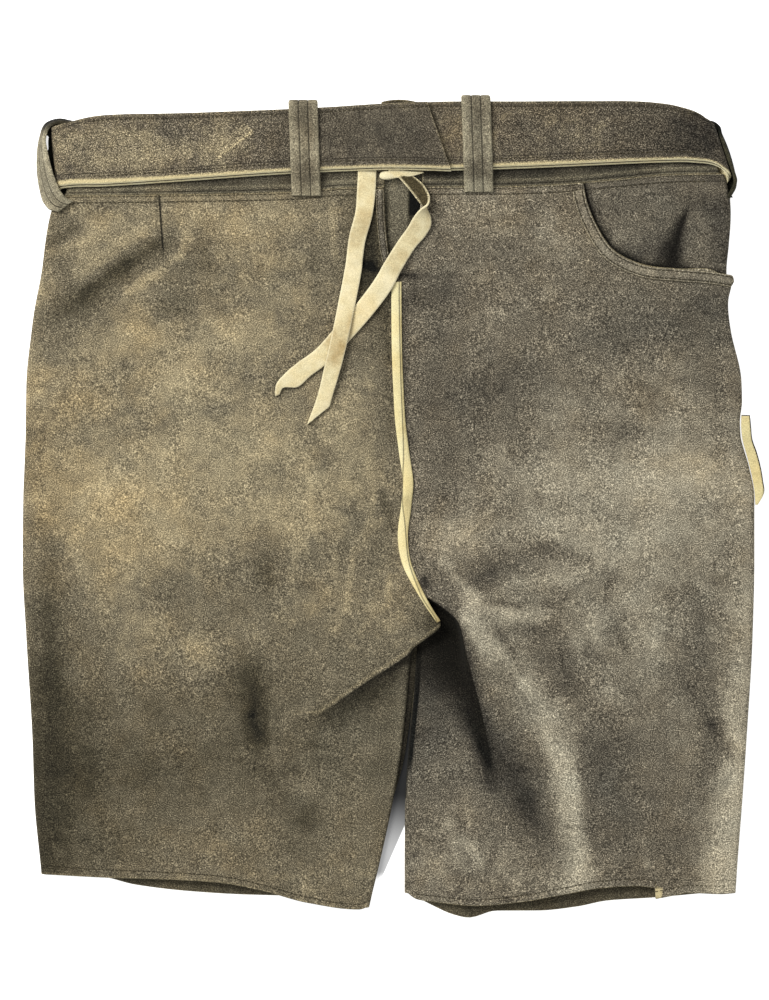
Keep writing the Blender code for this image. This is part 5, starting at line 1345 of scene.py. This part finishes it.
# %% Waistbands
def waistband_top(x):
    return 268.5 - 7.0 * smooth((-x - 60.0) / 160.0) - 3.6 * smooth((x - 150.0) / 70.0)


BAND_ROWS = 26


def band_grid(side, x_start, x_stop, columns, height, foot, downward):
    """A waistband half, turned round its side fold, from x_start out to the side."""
    sign = SIGN[side]
    x = np.linspace(x_start, x_stop, columns)
    low, high = foot(x), waistband_top(x)
    grid = np.array([np.stack([x, high + (low - high) * f, np.full(columns, height)], axis=1)
                     for f in even(BAND_ROWS)])
    reach_out = side_radius(grid[:, -1, 1]) + WAISTBAND_INSET
    lean = flow(SIDES, "y", side, grid[:, -1, 1]) - sign * reach_out
    squeeze = (lean - x_start) / (x_stop - x_start)
    grid[..., 0] = x_start + (grid[..., 0] - x_start) * squeeze[:, None]
    return add_side_roll(grid, sign, downward=downward)


def back_foot(x):
    return flow(WAIST, "x", "y", x) + SEAM


for side, start, reach_x in (("left", -5.6, -222.0), ("right", 20.8, 222.0)):
    grid = band_grid(side, start, reach_x, 150, WAIST_TOP, back_foot, True)
    x, y = grid[..., 0], grid[..., 1]
    from_foot = y - back_foot(x)
    # Painted shade: the waistband is darker towards the belt above it, and darkest at its right
    # end, which lies under the belt.
    base, shade, tint = (0.15, 0.6, 0.1) if side == "left" else (0.0, 0.8, -0.4)
    shade = shade + 1.1 * smooth((x - 186.0) / 22.0)       # its right end lies under the belt
    marks = {"tone": base + 0.3 * dapple(x, y, 21.0, 41) - shade * smooth((from_foot - 3) / 6),
             "warm": tint + 0.25 * dapple(x, y, 30.0, 42), "from_foot": from_foot}
    panel("waistband_back_" + side, grid, band_suede, marks)
halves = [band_grid(side, 0.0, reach_x, 60, WAIST_RISE, lambda x: np.full(np.shape(x), 211.8),
                    False) for side, reach_x in (("left", -222.0), ("right", 222.0))]
front_band = np.concatenate([halves[0][:, :0:-1], halves[1]], axis=1)
panel("waistband_front", front_band, suede_plain, {"tone": 0.0, "warm": 0.1}, faces_up=False)

# %% [markdown]
# ## Belt
# Two straps run from the hook plate in front to a lap over the seat. Each is two plies of
# suede glued back to back, and their pale cut edges show below. Both plies follow one route:
# flat along the back, half a turn round the side, flat to the front.

# %% Belt routes
STRAP_LEFT = measured("x_top y_top x_bottom y_bottom", """
    23.8 274.7 39.4 229.8, 4 274 5.4 230.9, -20 272.6 -20 230.6, -70.7 270 -70.7 228.5,
    -144 267.2 -144 223.4, -200 265.3 -200 219.9, -213 263.6 -212 219.5,
    -222.5 260.2 -219.5 219.3""")
STRAP_RIGHT = measured("x_top y_top x_bottom y_bottom", """
    -5 273 -5 231.2, 23.8 274.7 23.8 230.7, 87 275.2 87 232.2, 141.4 275.4 141.4 234.6,
    168.6 275.1 175.4 236, 190 272.8 200 236.4, 202.4 269.4 212 235.4, 210.6 265.6 221.2 232.8""")
# How far out each edge turns at the side, top and bottom, and how much it drops there.
TURN_LEFT = ((-232.0, 3.2), (-228.6, 1.2))
TURN_RIGHT = ((219.8, 7.6), (230.8, 8.0))
STRAP_FRONT = (259.5, 217.5)   # upper and lower edge of the straps in front
STRAP_HALF_GAP = 2.0           # half the space between the strap ends behind the plate


def belt_top_height(x):
    """Height of the outer face of the left strap, which laps over the right one."""
    return BELT_BACK + BELT_LAP * smooth((np.asarray(x, float) + 44.0) / 32.0)

# %% The way of a strap
def strap_route(rows, turn, sign, level, lapped):
    """Outer face edges of one ply, from its lapped end, round the side, to the front.

    level is 0 for the outer ply and 1 for the inner one, which lies one ply further in.
    """
    depth = level * (PLY + PLY_SPACE)
    middle = (BELT_BACK + BELT_FRONT) / 2.0
    radius = (BELT_BACK - BELT_FRONT) / 2.0 - depth
    lines = both_edges(rows, even(13))
    z = middle + radius + lapped * (belt_top_height(lines[0][:, 0]) - BELT_BACK)
    angles = np.radians(np.linspace(90.0, -90.0, 9))
    for line, (limit, drop), y_front in zip(lines, turn, STRAP_FRONT):
        centre, fall = limit - sign * (radius + depth), 2.0 * drop / (len(angles) + 1.0)
        bend = [(centre + sign * radius * math.cos(angle), line[-1, 1] - fall * (n + 1.0),
                 middle + radius * math.sin(angle)) for n, angle in enumerate(angles)]
        x_last, y_last = bend[-1][:2]
        x_end = sign * STRAP_HALF_GAP
        front = [(x_last + (x_end - x_last) * f, y_last + (y_front - y_last) * smooth(f * 1.2),
                  middle - radius) for f in (0.25, 0.5, 0.75, 1.0)]
        yield np.vstack([np.column_stack([line, z]), bend, front])


BEVEL = 0.9                    # slant of the cut edges
SHOW = 1.5                     # how far the inner ply stands out below

# %% Belt straps
BELT_ACROSS = even(30)
PALE_LEFT = measured("x wide", "-240 2.4, -225 2.7, -150 1.8, -72 1.2, -20 1, 40 1.2")
PALE_RIGHT = measured("x wide", "20 1, 60 1.4, 100 1.4, 150 0.9, 200 0.7, 240 0.7")
SCRATCH = ((-116.3, 238.4), (-94.7, 254.8))
BELT_ROWS = []                 # lines that the belt's stitches follow


def pillow(f):
    """A strap is a little thicker in its middle than at its edges."""
    return 0.3 * (1.0 - (2.0 * np.abs(f - 0.5)) ** 6)


def belt_ply(side, rows, turn, sign, lapped, level, ply):
    """One ply of one strap: level 0 is the outer one, with the stitches, 1 the inner one."""
    top, low = (refine(line, 9) for line in strap_route(rows, turn, sign, level, lapped))
    down = (low - top) / np.linalg.norm(low - top, axis=1)[:, None]
    low = low + down * SHOW * level
    cut = down * BEVEL
    first, last = (top, low) if sign > 0 else (low, top)
    inner_first, inner_last = (first, last + cut) if sign > 0 else (first + cut, last)
    f = BELT_ACROSS[None, :, None]
    face = first[:, None] + f * (last - first)[:, None]
    normal = face_normal(face)
    reverse = inner_first[:, None] + f * (inner_last - inner_first)[:, None] - PLY * normal
    if level == 0:
        face = face + (pillow(BELT_ACROSS) - 0.3)[None, :, None] * normal
    from_low = np.linalg.norm(face - low[:, None], axis=2)
    from_top = np.linalg.norm(face - top[:, None], axis=2)
    marks = wear_and_shade_at("belt " + side, face[..., 0], face[..., 1])
    wide = flow(PALE_LEFT if side == "left" else PALE_RIGHT, "x", "wide", face[..., 0])
    marks["pale"] = np.clip((wide - from_low) / 2.4 + 0.5, 0.0, 1.0)
    marks["from_low"], marks["from_top"] = from_low, from_top
    aside, along = signed_aside(face[..., 0], face[..., 1], *SCRATCH)
    beyond = smooth((-0.1 - along) / 0.2) + smooth((along - 1.0) / 0.2) + (side == "right")
    marks["scratch"] = aside * (1.0 + 60.0 * beyond)
    marks["calm"] = 0.35 * np.exp(-((face[..., 0] + 5.0) / 55.0) ** 2)
    if level == 0:
        for line in (low - down * 4.6, top + down * 3.4):
            line = line + 0.25 * normal[:, 15]
            BELT_ROWS.append(line[np.abs(line[:, 0]) < 206.0])
    finishes = (belt_face, cream_cut, belt_inner) if level == 0 else (belt_inner, cream_cut)
    FACES[f"belt_{side}_{ply}"] = face
    item = leather(f"belt_{side}_{ply}_leather", face, finishes, PLY, reverse=reverse, bulge=0.0,
                   marks=marks, sharp=40.0)
    settle(item, "belt_leather")


for side, rows, turn, sign, lapped in (("left", STRAP_LEFT, TURN_LEFT, -1.0, True),
                                       ("right", STRAP_RIGHT, TURN_RIGHT, 1.0, False)):
    for level, ply in enumerate(("outer", "inner")):
        belt_ply(side, rows, turn, sign, lapped, level, ply)

# %% Belt plate
PLATE_RINGS = measured("inset z", "23 0, 1 0, 0.3 0.1, 0 0.4, 0 1.4, 0.3 1.7, 1 1.8, 23 1.8")
PLATE_CORNER = 5.0
CORNER_STEPS = 10              # points round each corner
RING = 4 * CORNER_STEPS


def plate_outline(inset):
    """A rectangle with rounded corners, inset from the plate's outline."""
    wide, tall = PLATE[0] / 2.0 - inset, PLATE[1] / 2.0 - inset
    radius = max(min(PLATE_CORNER - inset, wide, tall), 0.0)
    wide, tall = max(wide, 0.2), max(tall, 0.2)
    points = []
    for quarter, (sx, sy) in enumerate(((1, 1), (-1, 1), (-1, -1), (1, -1))):
        for k in range(CORNER_STEPS):
            angle = math.radians(90.0 * (quarter + k / (CORNER_STEPS - 1.0)))
            points.append((sx * (wide - radius) + radius * math.cos(angle),
                           sy * (tall - radius) + radius * math.sin(angle)))
    return np.array(points)


plate_y = sum(STRAP_FRONT) / 2.0
plate_rings = [np.column_stack([plate_outline(r.inset) + (0.0, plate_y), np.full(RING, r.z)])
               for r in PLATE_RINGS]
plate = make_item("belt_plate_brass", plate_rings, ring_faces(len(plate_rings), RING), (brass,),
                  sharp=50.0)
settle(plate, "plate")

# %% [markdown]
# ## Belt loops
# A loop is a folded strip with three stitched ribs. It comes out of the waistband seam, runs
# up over the belt and in behind it. Those at the sides stand up round the belt's turns, so
# from above they are seen along their edge.

# %% Ribbed loops
# Three soft ribs with two stitched grooves between them.
RIBS = [(f, RIB * (1.0 - abs(2.0 * (f * 3.0 % 1.0) - 1.0) ** 5)) for f in even(46)]
LOOPS_BACK = {"loop_back_left": (-60.4, 0.0), "loop_back_right": (56.8, 3.2)}   # middle, lift up
LOOP_WIDTH = 19.0
LOOP_LEAN = 2.2                # how far a loop's foot stands to the right of its head
LOOPS_FRONT = {"loop_front_left": -62.0, "loop_front_right": 62.0}


def loop_line(middle, raise_head):
    """Side view of a back loop, from its foot over the belt and in behind its top."""
    top, over = WAIST_TOP, BELT_BACK + SEAM + LOOP
    feet = STRAP_LEFT[1:] + STRAP_RIGHT[2:]
    belt_foot = float(flow(feet, "x_bottom", "y_bottom", middle))
    head, foot = 276.0 + raise_head, belt_foot - 17.4
    return np.array([
        (foot, top + SEAM + LOOP + 0.3), (foot + 5.0, top + LOOP + 1.2),
        (belt_foot - 7.5, top + LOOP + 3.0), (belt_foot - 4.4, over - 1.0),
        (belt_foot + 0.5, over + 0.3), (belt_foot + 14.0, over + 0.5),
        (belt_foot + 30.0, over + 0.5), (head - 4.2, over + 0.2),
        (head - 1.4, over - 0.9), (head - 0.3, over - 3.0), (head, over - 5.2),
        (head - 0.8, top + 1.2), (head - 3.2, top + 0.4)])


for name, (middle, raise_head) in LOOPS_BACK.items():
    line = refine(loop_line(middle, raise_head), 10)
    lean = LOOP_LEAN * (line[:, 0].max() - line[:, 0]) / (line[:, 0].max() - line[0, 0])
    left = np.column_stack([middle - LOOP_WIDTH / 2.0 + lean, line])
    worn_foot = smooth((line[:, :1].min() + 16.0 - line[:, :1]) / 12.0)
    tone = 0.25 * dapple(0.0 * line[:, :1], line[:, :1], 12.0, 44) + 0.1 + 0.5 * worn_foot
    strip(name + "_leather", "loop_leather", left, left + (LOOP_WIDTH, 0.0, 0.0), LOOP,
          (loop_hide, loop_hide, loop_hide), profile=RIBS,
          marks={"tone": tone, "warm": 0.1 if name.endswith("left") else -0.3})

# %% Side loops
LOOP_SIDE_LEFT = measured("ux uy uz lx ly lz", """
    -218.5 261.4 8.6 -217.5 262.8 4, -226.5 262.2 10 -227.5 264.4 3,
    -233.2 258.8 13.8 -236.2 261.2 2.4, -236 252 16.4 -240.4 251 2.2,
    -236.2 243 17.6 -242.1 238 2.2, -235.4 232.5 17.6 -242 228 2.4,
    -232.4 222 17.2 -240.2 216 3.4, -227.4 213.6 16.4 -236.8 206.4 8.4,
    -221 208.8 14.8 -231 201.6 13.4, -217 207.6 14 -226.6 200.6 13.8""")
LOOP_SIDE_RIGHT = measured("ux uy uz lx ly lz", """
    212 262.6 7.6 211.6 262 3, 218.4 262 8.4 218 261.4 2.4, 222.9 258.2 10.4 222.5 257.2 2.2,
    224.4 253.8 12.2 224.2 252.4 2.2, 226.2 249.8 12.8 226.2 248.4 2.2,
    228.8 243.2 13 229 241.8 2.2, 230.9 236.6 13.1 231.1 235.2 2.2,
    232.7 229.6 13.2 232.9 228.4 2.3, 234 222 13.2 234.2 221 2.6, 233.9 215.4 13 234 214.6 3,
    232.8 210.4 12.8 232.8 209.6 3.6""")
loop_at = even(120)
# The right side loop takes the loop leather in the shade throughout: painted shade, as it stands in
# the shadow of the belt's turn.
for name, rows, finish, bend, bend_from, filler in (
        ("loop_side_left", LOOP_SIDE_LEFT, loop_hide, 2.8, 0.38, 7.5),
        ("loop_side_right", LOOP_SIDE_RIGHT, loop_shade, -1.8, 0.2, -6.0)):
    upper, lower = both_edges(rows, loop_at)
    upper[:, 0] += bend * np.sin(math.pi * np.clip((loop_at - bend_from) / 0.6, 0.0, 1.0))
    if name.endswith("right"):                     # its foot turns in under the belt
        upper[:, 0] -= 3.4 * smooth((loop_at - 0.8) / 0.2)
        lower[:, 0] -= 3.0 * smooth((loop_at - 0.84) / 0.16)
    pair = (upper, lower) if name.endswith("left") else (lower, upper)
    # Painted shade: the head of a side loop, behind the belt, is darkened towards black.
    shaded = (1.0 - smooth((loop_at - 0.16) / 0.2))[:, None]       # its head, behind the belt
    strip(name + "_leather", "loop_leather", *pair, LOOP, (finish, finish, finish), profile=RIBS,
          marks={"tone": 0.3 - 2.6 * shaded, "warm": -0.3, "shaded": shaded})
    # Its hidden half, behind the belt's turn, closes the view to the table. It takes the loop
    # leather in the shade, painted dark as shade.
    inner_at = np.linspace(0.10, 0.99, 90)
    near, _ = both_edges(rows, inner_at)
    near[:, 2] = 6.0
    far = near + (filler, 0.0, 0.0)
    if name.endswith("left"):                      # a small slot stays open near its top
        near[:, 0] += 3.0 * smooth((inner_at - 0.29) / 0.03) * smooth((0.50 - inner_at) / 0.08)
        far[:, 0] -= 3.0 * smooth((inner_at - 0.85) / 0.14)
    else:
        near[:, 0] -= 2.6 * smooth((inner_at - 0.84) / 0.16)
        far[:, 0] += 4.4 * smooth((inner_at - 0.92) / 0.08)
    strip(name + "_inner", "loop_leather", near, far, LOOP, (loop_shade,), width_steps=6,
          marks={"tone": -1.0, "warm": 0.0})

# %% Front loops
for name, middle in LOOPS_FRONT.items():
    over = BELT_FRONT - SEAM - LOOP
    line = refine([(207.0, 3.0), (209.6, 1.4), (213.0, 0.3), (216.5, over), (240.0, over),
                   (258.0, over), (261.5, 0.3), (264.6, 1.4), (267.0, 3.2)], 6)
    right = np.column_stack([np.full(len(line), middle + LOOP_WIDTH / 2.0), line])
    strip(name + "_leather", "loop_leather", right, right - (LOOP_WIDTH, 0.0, 0.0), LOOP,
          (loop_shade,), width_steps=16, marks={"tone": -0.5, "warm": -0.5})

# %% [markdown]
# ## Pale welts
# A welt is a narrow folded strip caught in a seam. One runs down the middle of the seat to a
# point at the crotch, and a short one stands out of the right side seam with a dark backing.

# %% Seam welt
SEAM_WELT = measured("x y", """
    3 153, 3.1 130, 3.4 105, 4.4 80, 5.6 59, 8.4 36, 11 16, 9.6 0, 7.4 -20, 9.6 -37, 17.6 -55,
    26 -69.5, 31.5 -77.6""")
SEAM_WELT_LIFT = 0.3           # how far it stands off what is below it
SEAM_WELT_WIDTH = 6.6
SEAM_WELT_TIP = 2.6            # width at the pointed lower end


def flat_strip(rows, width, thickness):
    """Edges of a flat strip whose middle follows the rows, lying on what is below it."""
    line = flow_line(rows, even(len(width)))
    along = np.gradient(line, axis=0)
    aside = np.stack([-along[:, 1], along[:, 0]], axis=1)
    aside /= np.linalg.norm(aside, axis=1)[:, None]
    for sign in (-1.0, 1.0):
        place = line + sign * width[:, None] / 2.0 * aside
        z = np.maximum(floor_height(*place.T), floor_height(*line.T)) + SEAM_WELT_LIFT + thickness
        yield np.column_stack([place, z])


WELT_STATIONS = 220
welt_taper = smooth((even(WELT_STATIONS) - 0.72) / 0.28)
welt_width = SEAM_WELT_WIDTH + (SEAM_WELT_TIP - SEAM_WELT_WIDTH) * welt_taper
welt_edges = list(flat_strip(SEAM_WELT, welt_width, WELT * 0.6))
ROUND_WELT = [(f, WELT * 0.4 * math.sin(math.pi * f) ** 0.6) for f in even(15)]
welt_f = np.array([f for f, _ in ROUND_WELT])
welt_y = welt_edges[0][:, 1:2]
WELT_GROOVE = measured("x y", """
    5.1 141, 6.1 91, 7.3 60.5, 7.9 42, 8 33, 7.4 22, 7.1 5, 8.8 -9, 11.2 -36, 19.6 -60, 30.2 -77""")
welt_x = welt_edges[1][:, :1] * (1.0 - welt_f) + welt_edges[0][:, :1] * welt_f
groove = welt_x - flow(WELT_GROOVE[::-1], "y", "x", welt_y)
# The welt's half right of its groove is painted darker, as shade on the far side of its fold; its
# tip is darker too.
welt_tone = (0.35 - 0.5 * smooth((groove + 0.2) / 0.8) - 0.7 * smooth((-60.0 - welt_y) / 12.0)
             + 0.3 * dapple(0.0 * welt_y, welt_y, 14.0, 51))
strip("seam_welt_suede", "welt_suede", welt_edges[1], welt_edges[0], WELT * 0.6, (welt_face,),
      profile=ROUND_WELT, marks={"tone": welt_tone, "groove": groove, "warm": 0.1})

# %% Side welt
SIDE_WELT = measured("x_in x_out y", """
    238.3 242.8 61.5, 238.2 243.4 54, 239.3 244.4 45, 241.5 247.2 37, 244 249.8 27.4,
    246.2 251.6 17, 247.4 252.3 9, 247.7 250.4 4.6, 247.8 248.8 2""")
SIDE_WELT_TOP = 5.4            # height of its upper face
edge_rows = flow_line(SIDE_WELT, even(90))
for name, top, out, thickness, face_finish, slot in (
        ("side_welt", SIDE_WELT_TOP, 0.0, WELT, welt_face, "welt_suede"),
        ("side_welt_backing", SIDE_WELT_TOP - WELT - SEAM, BINDING, BINDING, welt_dark,
         "welt_backing")):
    inner = np.column_stack([edge_rows[:, 0], edge_rows[:, 2] + out, np.full(90, top)])
    outer = np.column_stack([edge_rows[:, 1] + out, edge_rows[:, 2] + out, np.full(90, top)])
    strip(name + "_suede", slot, outer, inner, thickness, (face_finish,), width_steps=12,
          marks={"tone": 0.1, "warm": 0.1, "groove": 9.0})

# %% [markdown]
# ## Stitches
# Every seam is sewn with a thick waxed thread whose stitches lie in the lines that it pulls
# into the suede. One small bead, longer than wide, is copied along each line and joined into
# one mesh for each part of the garment.

# %% Stitch helper
STITCH_PITCH = 3.1
STITCH = (2.1, 0.62, 0.42)     # length, width and height of one stitch


def bead(rings=5, sides=6):
    """One stitch, lying along X, as points and faces."""
    t = math.pi * (np.arange(rings) + 0.5)[:, None] / rings
    a = 2.0 * math.pi * np.arange(sides) / sides
    thick = np.sin(t) ** 0.6 / 2.0
    points = np.stack([-np.cos(t) / 2.0 + 0.0 * a, thick * np.cos(a), thick * np.sin(a)], axis=-1)
    return points.reshape(-1, 3), ring_faces(rings, sides)


BEAD_POINTS, BEAD_FACES = bead()


def stitches(name, lines, seed, slot="suede"):
    """Stitches along some lines of points, all in one mesh."""
    chance = np.random.default_rng(seed)
    points, faces = [], []
    for line in lines:
        line = np.asarray(line, float)
        run = run_along(line)
        for s in np.arange(STITCH_PITCH * 0.5, run[-1] - STITCH_PITCH * 0.4, STITCH_PITCH):
            s = s + chance.uniform(-0.2, 0.2)
            place, ahead = np.array([np.interp((s, s + 0.8), run, axis) for axis in line.T]).T
            run_to = ahead - place
            run_to /= max(np.linalg.norm(run_to), 1e-6)
            aside = np.array([-run_to[1], run_to[0], 0.0]) + chance.uniform(-0.05, 0.05)
            aside /= np.linalg.norm(aside)
            up = np.cross(run_to, aside)
            shape = BEAD_POINTS * STITCH * (chance.uniform(0.85, 1.1), 1.0, 1.0)
            base = len(points) * len(BEAD_POINTS)
            points.append(place + shape[:, :1] * run_to + shape[:, 1:2] * aside
                          + shape[:, 2:] * up)
            faces += [tuple(v + base for v in face) for face in BEAD_FACES]
    print(len(points), "stitches")
    return settle(make_item(name, points, faces, (thread,)), slot)

# %% Sew the panels
def row_on(leg, x, y):
    """A stitch line on the dressed back of a leg."""
    z = back_top(x, y, leg)
    if leg == "right":
        z = z + scoop_lift(x, y)
    return np.column_stack([x, y, z])


left_x = np.linspace(-221.0, -26.0, 260)
right_x = np.linspace(22.0, 127.0, 150)
face_x = np.linspace(136.0, 214.0, 110)
waist_rows = []
for off in (1.1, 5.2):
    waist_rows.append(row_on("left", left_x, flow(WAIST, "x", "y", left_x) - off))
    waist_rows.append(row_on("right", right_x, flow(WAIST, "x", "y", right_x) - off))
    y = flow(WAIST, "x", "y", face_x) - off
    waist_rows.append(np.column_stack([face_x, y, back_top(face_x, y, "right")]))
stitches("stitches_waist", waist_rows, 61)
stitches("stitches_pocket", [mouth_edge + (mouth_foot - mouth_edge) * f + (0, 0, 0.22)
                             for f in (0.16, 0.86)], 62)
hem_left = np.linspace(-232.0, -20.0, 200)
hem_right = np.linspace(16.0, 228.0, 200)
hem_right_y = np.where(hem_right < BACK_HEM_STEP[0].x, flow(BACK_HEM_RIGHT, "x", "y", hem_right),
                       flow(BACK_HEM_STEP, "x", "y", hem_right))
stitches("stitches_hem", [row_on("left", hem_left, flow(BACK_HEM_LEFT, "x", "y", hem_left) + 5.4),
                          row_on("right", hem_right, hem_right_y + 5.4)], 63)
stitches("stitches_belt", BELT_ROWS, 65, slot="belt_leather")
gusset_pair = beside_gusset(0.5), beside_gusset(5.4)
stitches("stitches_gusset", [gusset_pair[0] + (gusset_pair[1] - gusset_pair[0]) * f
                             + (0, 0, 0.22) for f in (0.16, 0.86)], 64)

# %% [markdown]
# ## Cut sizes
# Every panel was cut flat before it was sewn, so its flat size is measured along the grid it
# was made from, and the area is that of its face.

def cut_size(grid):
    across = np.linalg.norm(np.diff(grid, axis=1), axis=2).sum(axis=1).max()
    along = np.linalg.norm(np.diff(grid, axis=0), axis=2).sum(axis=0).max()
    step_a, step_b = np.gradient(grid, axis=1), np.gradient(grid, axis=0)
    cell = np.linalg.norm(np.cross(step_a, step_b), axis=2)
    cell[[0, -1]] *= 0.5
    cell[:, [0, -1]] *= 0.5
    return across * MM, along * MM, float(cell.sum()) * MM * MM


LAID = {"front_left": "table", "front_right": "table", "waistband_back_left": "waistband_front",
        "waistband_back_right": "waistband_front", "waistband_front": "table",
        "belt_left_outer": "belt_left_inner", "belt_left_inner": "waistband_back_left",
        "belt_right_outer": "belt_right_inner", "belt_right_inner": "waistband_back_right",
        "back_left": "front_left", "back_right": "front_right", "pocket_facing": "front_right",
        "gusset": "waistband_front"}
for part, below in LAID.items():
    wide, long, area = cut_size(FACES[part])
    print("cut", part, round(wide * 1000), "x", round(long * 1000), "mm,", round(area, 4))
    round(min(area, wide * long), 4)
